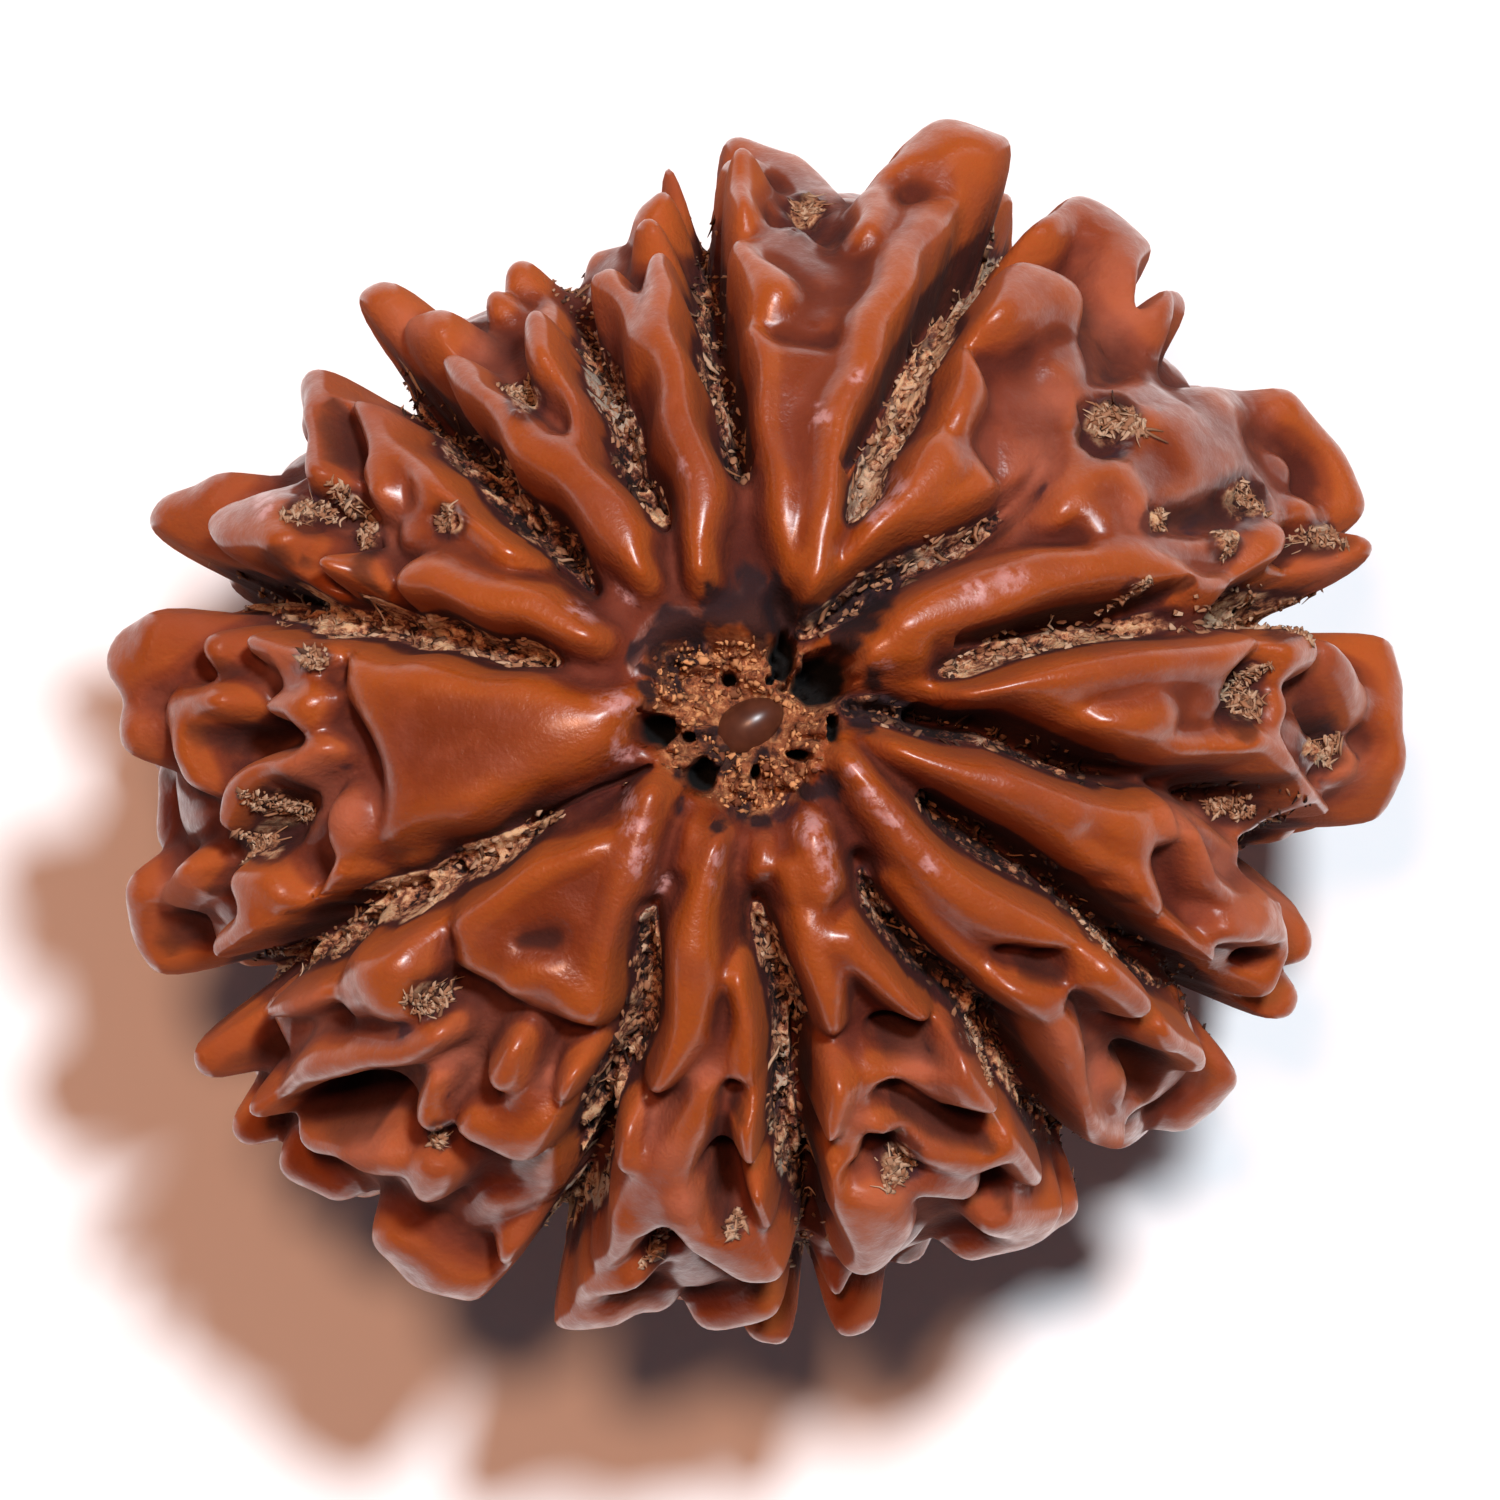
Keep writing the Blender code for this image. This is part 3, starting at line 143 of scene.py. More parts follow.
# ridges and knobs on the top: height, then x, y and half width along the middle
RIDGES = [
    # lobe at 78 degrees
    (1.15, [(1.1, 2.4, 0.3), (1.2, 4.0, 0.4), (1.35, 5.0, 0.45), (1.8, 6.5, 0.5),
            (2.4, 8.0, 0.5), (3.0, 9.2, 0.5), (3.5, 10.2, 0.55), (4.3, 10.7, 0.5),
            (5.3, 10.8, 0.45)]),
    (0.95, [(-0.1, 8.0, 0.35), (0.0, 6.0, 0.35), (0.2, 4.5, 0.35), (0.7, 3.0, 0.3)]),
    (1.15, [(-0.65, 9.8, 0.55), (-0.2, 9.2, 0.6), (0.4, 8.9, 0.5)]),
    (1.3, [(-0.4, 10.6, 0.5), (-0.3, 11.3, 0.55)]),
    (1.2, [(2.3, 10.0, 0.4), (2.75, 10.9, 0.45)]),
    # lobe at 49 degrees
    (1.15, [(1.9, 2.9, 0.3), (2.4, 4.2, 0.5), (2.9, 5.1, 0.55), (3.5, 5.6, 0.5)]),
    (1.1, [(3.9, 6.3, 0.4), (4.0, 7.0, 0.55), (4.1, 7.6, 0.45)]),
    (1.45, [(4.95, 8.5, 0.65), (5.5, 8.9, 0.7), (6.1, 8.8, 0.55)]),
    (0.7, [(5.8, 7.8, 0.6), (5.9, 7.2, 0.5)]),
    (0.55, [(7.1, 8.2, 0.6), (7.4, 8.0, 0.5)]),
    # lobe at 24 degrees
    (0.95, [(2.2, 1.45, 0.4), (3.0, 1.75, 0.5)]),
    (1.15, [(2.9, 2.1, 0.4), (3.6, 2.5, 0.55), (4.5, 2.85, 0.65), (5.5, 3.0, 0.7),
            (6.6, 3.0, 0.6), (7.7, 3.15, 0.6), (9.0, 2.85, 0.5), (9.9, 2.85, 0.45),
            (10.25, 3.2, 0.4), (10.45, 3.8, 0.38)]),
    (0.95, [(6.1, 4.3, 0.4), (7.0, 5.0, 0.42), (7.5, 4.4, 0.4)]),
    (0.95, [(6.8, 4.1, 0.45)]),
    (0.95, [(7.6, 6.1, 0.5), (8.3, 6.2, 0.55)]),
    (1.0, [(9.2, 6.4, 0.65), (10.2, 6.3, 0.75), (10.8, 5.6, 0.6)]),
    (0.95, [(8.4, 5.7, 0.7), (9.4, 5.9, 0.8)]),
    (1.1, [(10.5, 5.2, 0.4)]),
    (1.2, [(10.9, 4.35, 0.3), (11.5, 4.3, 0.35), (11.9, 3.7, 0.4), (11.6, 3.05, 0.4),
           (10.9, 2.95, 0.35)]),
    # lobe at 0 degrees
    (1.15, [(4.2, 0.8, 0.3), (5.2, 1.0, 0.45), (6.6, 1.2, 0.5), (8.0, 1.4, 0.5),
            (9.0, 1.6, 0.45), (9.8, 1.9, 0.3)]),
    (0.7, [(5.5, 0.4, 0.5), (7.2, 0.7, 0.7), (8.8, 0.8, 0.6)]),
    (1.1, [(6.7, -0.2, 0.5), (7.3, 0.0, 0.55), (8.0, 0.3, 0.5)]),
    (0.8, [(7.3, -1.1, 0.4), (8.2, -0.5, 0.45), (9.2, -0.4, 0.45)]),
    (1.15, [(9.5, -0.1, 0.4), (10.2, -0.6, 0.48), (10.8, -1.3, 0.5), (11.5, -1.8, 0.38)]),
    (1.35, [(10.5, 1.5, 0.5), (11.0, 1.5, 0.52)]),
    (1.0, [(10.25, 0.35, 0.48)]),
    (1.3, [(11.5, 1.4, 0.5), (11.9, 0.8, 0.6), (12.2, 0.4, 0.5)]),
    (1.2, [(11.8, -0.5, 0.45), (12.0, -1.2, 0.45)]),
    # lobe at -22 degrees
    (1.1, [(2.6, -0.45, 0.3), (3.4, -0.55, 0.42), (4.4, -0.7, 0.45), (5.3, -1.2, 0.45),
           (6.2, -1.7, 0.5)]),
    (0.95, [(6.9, -1.6, 0.5), (7.6, -2.2, 0.55)]),
    (1.15, [(7.6, -3.3, 0.6), (7.8, -3.6, 0.55)]),
    (0.95, [(8.2, -1.7, 0.4), (8.3, -1.95, 0.35)]),
    (0.9, [(8.8, -2.0, 0.3), (9.15, -2.9, 0.32), (9.7, -3.45, 0.3), (10.4, -3.6, 0.25)]),
    (1.2, [(8.5, -4.2, 0.42), (8.9, -4.6, 0.42), (9.25, -5.0, 0.32)]),
    (1.2, [(9.4, -3.95, 0.35), (10.1, -4.05, 0.4), (10.45, -4.6, 0.35), (10.2, -5.3, 0.35)]),
    (0.8, [(9.8, -5.05, 0.35)]),
    # lobe at -45 degrees
    (1.1, [(1.6, -0.7, 0.3), (2.1, -1.5, 0.42), (2.9, -2.25, 0.5), (3.7, -2.8, 0.5),
           (4.6, -3.35, 0.55), (5.4, -3.9, 0.5), (6.0, -4.25, 0.4)]),
    (0.6, [(3.0, -3.2, 0.5), (4.2, -4.3, 0.6)]),
    (1.15, [(5.2, -5.2, 0.6), (5.45, -5.5, 0.6)]),
    (1.6, [(6.9, -5.05, 0.62), (7.4, -5.4, 0.6)]),
    (1.25, [(8.0, -5.8, 0.38), (8.5, -6.3, 0.36), (8.9, -6.7, 0.32)]),
    (1.05, [(5.85, -6.1, 0.38), (6.3, -7.1, 0.42), (6.8, -8.1, 0.45), (6.95, -8.5, 0.42)]),
    (0.5, [(7.1, -7.0, 0.5), (7.7, -7.4, 0.45)]),
    # lobe at -70 degrees
    (0.95, [(0.9, -2.1, 0.35), (1.4, -3.2, 0.42)]),
    (0.85, [(0.6, -2.8, 0.25), (0.85, -3.4, 0.3)]),
    (0.7, [(0.05, -2.4, 0.25), (0.1, -3.0, 0.25)]),
    (1.0, [(1.25, -4.0, 0.5), (1.25, -5.0, 0.52), (1.2, -5.8, 0.4)]),
    (1.35, [(1.5, -7.1, 0.38), (1.4, -7.6, 0.4), (1.4, -8.1, 0.3)]),
    (1.05, [(1.9, -4.1, 0.4), (2.6, -4.9, 0.45), (3.4, -5.6, 0.4)]),
    (0.7, [(2.2, -6.55, 0.35), (3.0, -6.7, 0.4), (3.8, -7.1, 0.45)]),
    (1.5, [(4.25, -6.8, 0.58), (4.55, -7.2, 0.6), (4.9, -7.6, 0.42)]),
    (0.7, [(3.2, -7.5, 0.3), (4.0, -7.75, 0.3)]),
    (0.75, [(2.0, -7.0, 0.3), (1.95, -8.4, 0.35)]),
    (1.0, [(1.5, -8.8, 0.35), (1.6, -9.8, 0.4), (1.7, -10.7, 0.5)]),
    (1.15, [(2.4, -9.5, 0.55), (2.3, -10.2, 0.62), (2.1, -10.7, 0.55)]),
    (1.0, [(2.5, -7.6, 0.3), (3.2, -8.2, 0.42), (4.2, -8.6, 0.48), (5.1, -8.4, 0.42),
           (5.8, -9.0, 0.42)]),
    (0.9, [(3.3, -9.1, 0.45), (3.9, -9.2, 0.5)]),
    (1.2, [(4.7, -9.8, 0.5), (5.3, -10.0, 0.6), (5.8, -9.8, 0.4)]),
    # lobe at -97 degrees
    (1.1, [(-0.95, -2.3, 0.28), (-1.0, -3.4, 0.42), (-1.2, -4.5, 0.5), (-1.55, -5.8, 0.5),
           (-2.05, -7.1, 0.4)]),
    (0.75, [(-1.5, -1.9, 0.25), (-1.5, -2.7, 0.25)]),
    (0.95, [(-0.25, -5.2, 0.42), (-0.35, -6.3, 0.42), (-0.35, -6.9, 0.4)]),
    (0.6, [(-1.1, -6.3, 0.3), (-1.0, -7.2, 0.35)]),
    (1.15, [(-2.6, -8.1, 0.32), (-2.6, -8.8, 0.36)]),
    (0.95, [(-1.15, -7.3, 0.38), (-1.35, -8.2, 0.45), (-1.9, -9.1, 0.55), (-2.5, -9.7, 0.5)]),
    (1.1, [(-2.9, -9.9, 0.45), (-3.5, -10.6, 0.42)]),
    (1.25, [(-2.6, -11.0, 0.4), (-3.2, -11.2, 0.5), (-3.9, -11.4, 0.42)]),
    (1.45, [(-0.1, -7.9, 0.44), (0.05, -8.2, 0.52), (0.1, -8.6, 0.44)]),
    (1.1, [(-1.4, -9.4, 0.5), (-1.1, -10.2, 0.62), (-0.3, -10.7, 0.65), (0.2, -10.8, 0.45)]),
    (1.2, [(0.15, -9.5, 0.35), (0.3, -10.1, 0.38)]),
    # lobe at 228 degrees
    (1.1, [(-2.45, -1.3, 0.4), (-2.5, -2.6, 0.45), (-2.6, -4.0, 0.42), (-2.9, -5.5, 0.4)]),
    (1.1, [(-3.4, -2.15, 0.35), (-4.5, -2.7, 0.4), (-5.6, -3.4, 0.42), (-6.0, -3.9, 0.38)]),
    (1.05, [(-4.9, -4.95, 0.4), (-4.2, -4.8, 0.42), (-3.5, -5.4, 0.5)]),
    (1.45, [(-7.75, -4.2, 0.6), (-7.55, -4.9, 0.75)]),
    (0.95, [(-8.9, -5.0, 0.4), (-9.5, -5.5, 0.35), (-10.0, -5.6, 0.3)]),
    (1.2, [(-6.6, -6.1, 0.38), (-7.6, -6.4, 0.45), (-8.6, -6.6, 0.5), (-9.2, -7.1, 0.34),
           (-9.5, -7.4, 0.28)]),
    (1.35, [(-5.0, -6.3, 0.4), (-5.1, -6.9, 0.48)]),
    (1.45, [(-3.6, -7.1, 0.48), (-3.65, -7.5, 0.48)]),
    (0.95, [(-6.5, -7.0, 0.34), (-6.55, -7.8, 0.36)]),
    (1.1, [(-9.1, -8.2, 0.45), (-8.3, -8.4, 0.62), (-7.5, -8.6, 0.6)]),
    (1.15, [(-6.6, -8.9, 0.48), (-6.7, -9.3, 0.42)]),
    (1.05, [(-5.5, -8.1, 0.55), (-4.8, -8.4, 0.6), (-4.0, -8.1, 0.45)]),
    (0.85, [(-4.6, -7.5, 0.5)]),
    # lobe at 187 degrees
    (1.05, [(-8.3, -1.6, 0.5), (-8.2, -2.1, 0.5)]),
    (1.05, [(-9.0, -3.6, 0.3), (-8.3, -3.0, 0.42)]),
    (1.25, [(-10.0, 0.5, 0.34), (-9.2, 0.55, 0.48)]),
    (1.1, [(-10.1, 1.85, 0.38), (-9.4, 1.9, 0.4), (-9.0, 1.6, 0.3)]),
    (0.85, [(-9.6, 1.3, 0.35), (-9.0, 1.2, 0.3)]),
    (1.2, [(-11.0, 1.8, 0.48)]),
    (1.25, [(-11.0, 0.7, 0.48), (-11.6, 0.4, 0.6), (-11.5, -0.2, 0.5)]),
    (1.1, [(-8.9, -0.35, 0.3), (-9.6, -0.6, 0.35), (-10.4, -1.1, 0.48), (-10.7, -1.7, 0.4)]),
    (1.0, [(-11.3, -0.8, 0.45)]),
    (1.1, [(-10.3, -3.0, 0.5), (-9.8, -3.1, 0.5)]),
    (1.25, [(-10.2, -3.85, 0.52), (-10.8, -4.3, 0.5)]),
    (1.2, [(-11.5, -2.9, 0.4), (-12.0, -3.5, 0.4), (-11.8, -4.6, 0.45)]),
    # lobe at 154 degrees
    (1.1, [(-3.3, 2.0, 0.3), (-4.2, 2.45, 0.5), (-5.8, 2.9, 0.58), (-6.85, 3.05, 0.55)]),
    (1.0, [(-8.1, 6.5, 0.35), (-7.4, 5.9, 0.4), (-6.6, 5.2, 0.45), (-5.9, 4.6, 0.4),
           (-4.9, 3.8, 0.35)]),
    (0.6, [(-6.6, 4.3, 0.6), (-5.5, 3.6, 0.5)]),
    (1.15, [(-8.1, 6.4, 0.35), (-7.8, 5.6, 0.4), (-7.6, 4.9, 0.4)]),
    (1.65, [(-8.55, 3.3, 0.64)]),
    (1.2, [(-9.3, 3.05, 0.3), (-10.3, 3.3, 0.26)]),
    (1.5, [(-9.7, 4.2, 0.75), (-10.3, 4.15, 0.88), (-10.8, 4.0, 0.88)]),
    (0.85, [(-9.1, 4.85, 0.3), (-8.3, 4.85, 0.3)]),
    (1.55, [(-8.6, 5.2, 0.36), (-8.9, 6.1, 0.4), (-8.95, 6.9, 0.44)]),
    # lobe at 128 degrees
    (1.15, [(-6.5, 7.3, 0.4), (-6.0, 6.8, 0.48), (-5.3, 6.1, 0.5), (-4.7, 5.55, 0.5),
            (-3.9, 5.1, 0.55), (-3.1, 4.4, 0.5), (-2.6, 3.7, 0.4), (-2.3, 3.1, 0.3)]),
    (0.9, [(-3.5, 5.9, 0.4), (-3.75, 6.6, 0.45), (-4.0, 7.2, 0.55)]),
    (1.2, [(-4.2, 7.6, 0.65), (-4.4, 8.1, 0.62)]),
    (1.4, [(-7.2, 7.9, 0.5), (-6.6, 8.1, 0.52)]),
    # lobe at 105 degrees
    (1.15, [(-1.2, 3.2, 0.3), (-1.3, 4.4, 0.45), (-1.55, 5.5, 0.48), (-1.8, 6.8, 0.4),
            (-1.9, 7.9, 0.48), (-1.85, 8.8, 0.5), (-1.75, 9.6, 0.42)]),
    (0.9, [(-2.3, 7.5, 0.3), (-2.7, 8.5, 0.32), (-2.9, 9.2, 0.34)]),
    (1.2, [(-3.6, 9.1, 0.42)]),
    (1.2, [(-2.15, 10.2, 0.38)]),
]

# lobes and knobs that stand out at the side: half width, then x, y of the tip and its level
SIDE_KNOBS = [
    (0.65, [(-1.5, 11.7, 0.0), (-0.6, 11.8, 0.5), (0.4, 11.5, 1.0), (1.3, 10.9, 2.0)]),
    (0.9, [(3.7, 11.75, 2.5), (4.2, 12.12, 2.3), (4.8, 11.9, 2.2), (5.4, 11.2, 2.4)]),
    (0.75, [(5.5, 11.0, 2.5), (5.7, 10.4, 3.0)]),
    (0.45, [(2.8, 11.3, 3.0)]),
    (0.5, [(-0.5, 11.6, 3.0)]),
    (0.95, [(6.9, 10.35, 2.0), (7.5, 9.9, 2.0), (7.9, 9.1, 2.8)]),
    (0.55, [(8.45, 8.6, 2.0)]),
    (0.62, [(10.8, 6.6, 1.5), (11.6, 5.8, 1.0), (12.05, 4.8, 1.0)]),
    (0.65, [(12.3, 3.6, 2.5), (12.2, 2.9, 2.0)]),
    (0.68, [(12.7, 1.45, 0.0), (12.88, 0.7, 0.3), (12.85, 0.2, 0.5)]),
    (0.65, [(12.9, -0.85, 0.5), (12.5, -1.6, 0.0)]),
    (0.5, [(10.6, -3.4, 0.0), (11.1, -4.2, 1.0)]),
    (0.58, [(10.8, -5.4, 0.5), (10.5, -6.0, 0.5)]),
    (0.88, [(9.6, -7.0, 1.5), (9.3, -7.4, 1.3), (8.9, -7.7, 1.2)]),
    (0.5, [(7.6, -8.0, 0.0)]),
    (0.6, [(6.4, -9.7, 1.0), (6.1, -9.9, 1.0)]),
    (0.7, [(5.5, -10.3, 1.5), (4.7, -10.4, 1.5)]),
    (0.65, [(1.95, -12.1, 0.0), (1.75, -12.1, 0.0)]),
    (0.45, [(1.5, -11.5, 1.5)]),
    (0.42, [(3.1, -10.7, 0.0)]),
    (0.7, [(-2.3, -11.6, 1.5), (-3.2, -11.9, 1.5), (-3.95, -12.0, 1.0)]),
    (0.6, [(-0.8, -12.0, 1.0), (0.1, -11.75, 1.5)]),
    (0.6, [(0.2, -12.35, -0.5), (0.0, -12.3, -0.5)]),
    (0.55, [(-11.3, -6.2, 2.0), (-11.2, -6.9, 2.0)]),
    (0.45, [(-10.1, -7.8, 3.0)]),
    (0.55, [(-10.6, -8.0, 0.5)]),
    (0.65, [(-9.6, -8.9, 1.0), (-8.9, -9.2, 1.0)]),
    (0.85, [(-7.3, -10.5, 2.0), (-6.5, -11.2, 1.5), (-5.6, -11.5, 1.0)]),
    (0.45, [(-5.0, -10.7, 3.0), (-4.8, -11.4, 1.5)]),
    (0.82, [(-12.9, 1.6, 3.0), (-12.5, 1.75, 3.2)]),
    (0.68, [(-12.8, 0.1, 3.0)]),
    (0.45, [(-12.1, -1.2, 1.0), (-12.1, -2.3, 1.0)]),
    (0.62, [(-12.65, -3.5, 1.5), (-12.4, -4.4, 1.0), (-12.0, -5.1, 0.5)]),
    (0.8, [(-12.5, 3.7, 1.0), (-12.2, 4.3, 1.0), (-11.3, 4.7, 1.5)]),
    (0.58, [(-8.85, 7.25, 2.5), (-9.0, 6.4, 2.5)]),
    (0.72, [(-8.5, 8.5, 2.5), (-7.8, 8.8, 2.5)]),
    (0.5, [(-4.8, 9.3, 3.0)]),
    (0.45, [(-5.4, 8.7, 3.5)]),
    (0.6, [(-2.15, 10.8, 2.5), (-2.2, 10.6, 2.5)]),
    (0.45, [(-3.7, 9.5, 2.0), (-3.1, 9.6, 2.0)]),
]

# pits and deep gaps on the top: depth, then x, y and half width along the middle
PITS = [
    (1.2, [(-1.2, 1.1, 0.8), (0.0, 0.6, 1.2), (0.9, 1.0, 0.8)]),
    (1.0, [(-0.9, -0.2, 0.8), (0.0, -1.1, 0.8)]),
    (1.3, [(1.2, 0.95, 0.5), (1.5, 1.4, 0.35)]),
    (1.0, [(0.45, 1.25, 0.3), (0.5, 2.0, 0.3), (0.4, 2.5, 0.25)]),
    (1.1, [(-2.0, 0.05, 0.36)]),
    (1.0, [(-1.1, -0.85, 0.33)]),
    (0.7, [(6.95, 6.3, 0.42), (6.85, 5.8, 0.42)]),
    (0.6, [(7.9, 4.2, 0.25), (8.6, 4.2, 0.3), (9.3, 4.4, 0.42), (9.8, 4.7, 0.3)]),
    (0.7, [(11.1, 3.7, 0.33)]),
    (0.6, [(9.75, 1.1, 0.2), (9.45, 0.5, 0.25), (9.6, -0.1, 0.2)]),
    (0.7, [(10.95, 0.2, 0.22), (11.15, -0.5, 0.35)]),
    (1.3, [(8.4, -0.95, 0.25), (9.2, -1.1, 0.5), (9.7, -1.7, 0.45)]),
    (1.3, [(9.8, -2.6, 0.4), (10.4, -2.8, 0.45)]),
    (0.8, [(9.6, -4.45, 0.22), (9.9, -4.45, 0.2)]),
    (0.7, [(6.9, -3.25, 0.3)]),
    (0.9, [(5.1, -4.65, 0.22), (5.8, -4.75, 0.25)]),
    (1.1, [(2.4, -6.0, 0.26), (3.2, -6.05, 0.28)]),
    (0.9, [(2.6, -7.2, 0.2), (3.5, -7.8, 0.24), (4.5, -8.15, 0.22)]),
    (0.7, [(2.65, -8.4, 0.4)]),
    (1.3, [(4.75, -9.2, 0.26)]),
    (1.3, [(-0.85, -8.4, 0.26), (-0.65, -9.6, 0.32)]),
    (1.0, [(-0.5, -7.4, 0.25)]),
    (1.2, [(-1.95, -10.3, 0.32)]),
    (0.3, [(-4.1, -4.1, 0.3), (-4.7, -4.15, 0.2)]),
    (0.9, [(-9.7, -6.3, 0.4)]),
    (0.6, [(-6.5, -5.2, 0.36)]),
    (1.9, [(-8.9, -7.5, 0.3), (-7.9, -7.4, 0.42), (-7.2, -7.3, 0.32)]),
    (1.1, [(-8.5, 6.5, 0.16), (-8.4, 6.0, 0.2), (-8.15, 5.3, 0.22)]),
    (1.0, [(7.3, -6.2, 0.28), (7.8, -6.6, 0.34), (7.7, -7.2, 0.3)]),
    (0.7, [(-7.75, 2.85, 0.22), (-7.7, 3.5, 0.2)]),
    (0.7, [(-9.2, 3.4, 0.2), (-9.0, 2.75, 0.2)]),
    (1.0, [(-10.9, -0.1, 0.3), (-10.2, -0.2, 0.4), (-9.6, 0.0, 0.25)]),
    (0.7, [(-9.4, -1.3, 0.36), (-9.55, -2.0, 0.42), (-10.2, -2.25, 0.22)]),
    (1.2, [(-10.85, -3.15, 0.22)]),
    (0.7, [(-10.6, 1.2, 0.3)]),
    (0.8, [(-11.5, -3.7, 0.2), (-11.55, -4.3, 0.22)]),
    (0.6, [(-8.9, 4.3, 0.36), (-8.1, 4.45, 0.22)]),
    (0.5, [(-6.2, 4.2, 0.28)]),
    (0.6, [(-4.6, 6.5, 0.35)]),
    (0.6, [(0.9, 10.3, 0.35)]),
]


def round_table(table, angle):
    """The table's value at each angle in degrees, eased round the circle with no break."""
    angles = np.array([row[0] for row in table], float)
    values = np.array([row[1] for row in table], float)
    return np.interp(angle, angles, values, period=360.0)


def body_radius(angle):
    """The body's radius at each angle, averaged over 12 degrees so that it changes gently."""
    total = 0.0
    for step in (-6.0, -3.0, 0.0, 3.0, 6.0):
        total = total + round_table(BODY_RADIUS, angle + step)
    return total / 5.0


def body_point(angle, slope):
    """A point on the body and the way out of it there.

    The upright section is a squared circle: across = r cos(s)^(2/n), up = h sin(s)^(2/n).
    The way out leans by the powers n - 1 of the two, and is turned to the same angle.
    """
    radius = body_radius(angle)
    across = np.abs(np.cos(slope)) ** (2.0 / ROUNDNESS)
    up = np.sign(np.sin(slope)) * np.abs(np.sin(slope)) ** (2.0 / ROUNDNESS)
    out_across = across ** (ROUNDNESS - 1.0) / radius
    out_up = np.sign(up) * np.abs(up) ** (ROUNDNESS - 1.0) / HALF_HEIGHT
    length = np.hypot(out_across, out_up)
    turn = np.radians(angle)
    point = np.stack([radius * across * np.cos(turn), radius * across * np.sin(turn),
                      HALF_HEIGHT * up], axis=-1)
    out = np.stack([out_across * np.cos(turn), out_across * np.sin(turn), out_up], axis=-1)
    return point, out / length[..., None]


SLOPES = np.linspace(0.0, math.pi / 2, 400)


def under_seen_place(x, y, height):
    """The point of the body that lies under a place seen from above, at that height over it."""
    angle = math.degrees(math.atan2(y, x))
    points, outs = body_point(np.full(SLOPES.shape, angle), SLOPES)
    reach = np.hypot(points[:, 0] + height * outs[:, 0], points[:, 1] + height * outs[:, 1])
    slope = np.interp(math.hypot(x, y), reach[::-1], SLOPES[::-1])
    return body_point(np.array(angle), np.array(slope))[0]


def under_surface(seen, places, x, y):
    """The point of the body whose raised point is the one seen from above nearest to x, y."""
    gap = np.hypot(seen[:, 0] - x, seen[:, 1] - y) - 0.03 * seen[:, 2]
    return places[np.argmin(gap)]


def at_level(x, y, level):
    """The point of the body at that level in the direction of x, y, and the height of the tip."""
    angle = math.degrees(math.atan2(y, x))
    up = abs(level) / HALF_HEIGHT
    slope = math.copysign(math.asin(up ** (ROUNDNESS / 2.0)), level)
    point, out = body_point(np.array(angle), np.array(slope))
    height = (math.hypot(x, y) - math.hypot(point[0], point[1])) / math.hypot(out[0], out[1])
    return point, height - BODY_HEIGHT


def add_stroke(places, field, points, widths, heights, blunt, sharp):
    """Raises the field to the tallest of itself and a rounded stroke along the points.

    Over the middle line the stroke has its height, and it falls to nothing at the half width
    as height * (1 - (distance / half width)^blunt)^sharp. The joining is a smooth maximum.
    """
    points = np.array(points)
    low = points.min(axis=0) - max(widths)
    high = points.max(axis=0) + max(widths)
    near = np.nonzero(np.all((places > low) & (places < high), axis=1))[0]
    if not len(near):
        return
    here = places[near]
    best = np.zeros(len(near))
    for index in range(max(1, len(points) - 1)):
        start = points[index]
        other = min(index + 1, len(points) - 1)
        along = points[other] - start
        share = np.clip((here - start) @ along / max(along @ along, 1e-9), 0.0, 1.0)
        gap = np.linalg.norm(here - start - share[:, None] * along, axis=1)
        width = widths[index] + share * (widths[other] - widths[index])
        height = heights[index] + share * (heights[other] - heights[index])
        best = np.maximum(best, height * np.clip(1.0 - (gap / width) ** blunt, 0.0, 1.0) ** sharp)
    field[near] = (field[near] ** 6 + best ** 6) ** (1.0 / 6.0)


def wandering(places):
    """A small shift of each place, so that no ridge or groove runs quite straight.

    Along each axis it is the sum of a slow sine wave and a quicker, lower one of the other two.
    """
    x, y, z = places[..., 0], places[..., 1], places[..., 2]
    slow = np.stack([np.sin(1.3 * y + 0.7 * z), np.sin(1.2 * z - 0.8 * x + 1.0),
                     np.sin(1.4 * x + 0.6 * y + 2.0)], axis=-1)
    quick = np.stack([np.sin(3.1 * z - 1.9 * y + 0.5), np.sin(2.9 * x + 2.0 * z),
                      np.sin(3.3 * y - 1.6 * x + 1.5)], axis=-1)
    return WANDER * (slow + 0.6 * quick)


def inside_depth(x, y, corners):
    """How far inside the outline each place is, and nought outside it."""
    corners = np.array(corners)
    after = np.roll(corners, -1, axis=0)
    nearest = np.full(len(x), 1e9)
    crossings = np.zeros(len(x), int)
    for (ax, ay), (bx, by) in zip(corners, after):
        dx = bx - ax
        dy = by - ay
        share = np.clip(((x - ax) * dx + (y - ay) * dy) / (dx * dx + dy * dy), 0.0, 1.0)
        nearest = np.minimum(nearest, np.hypot(x - ax - share * dx, y - ay - share * dy))
        spans = (ay > y) != (by > y)
        crossings += spans & (x < ax + (y - ay) * dx / (dy if dy else 1e-9))
    return np.where(crossings % 2 == 1, nearest, 0.0)


def groove_path(groove):
    """A groove's points on the body: over the top as placed, then down the side to the far end."""
    points = [under_seen_place(x, y, 0.3) for x, y, width in groove]
    widths = [width for x, y, width in groove]
    x, y, width = groove[-1]
    angle = math.degrees(math.atan2(y, x))
    last = points[-1][2] / HALF_HEIGHT
    slope = math.asin(max(last, 0.0) ** (ROUNDNESS / 2.0))
    for step in range(1, 15):
        lower = slope + (-1.42 - slope) * step / 14.0
        sway = 1.3 * math.sin(step * 0.9 + x) * math.cos(lower)
        points.append(body_point(np.array(angle + sway), np.array(lower))[0])
        widths.append(width)
    return points, widths


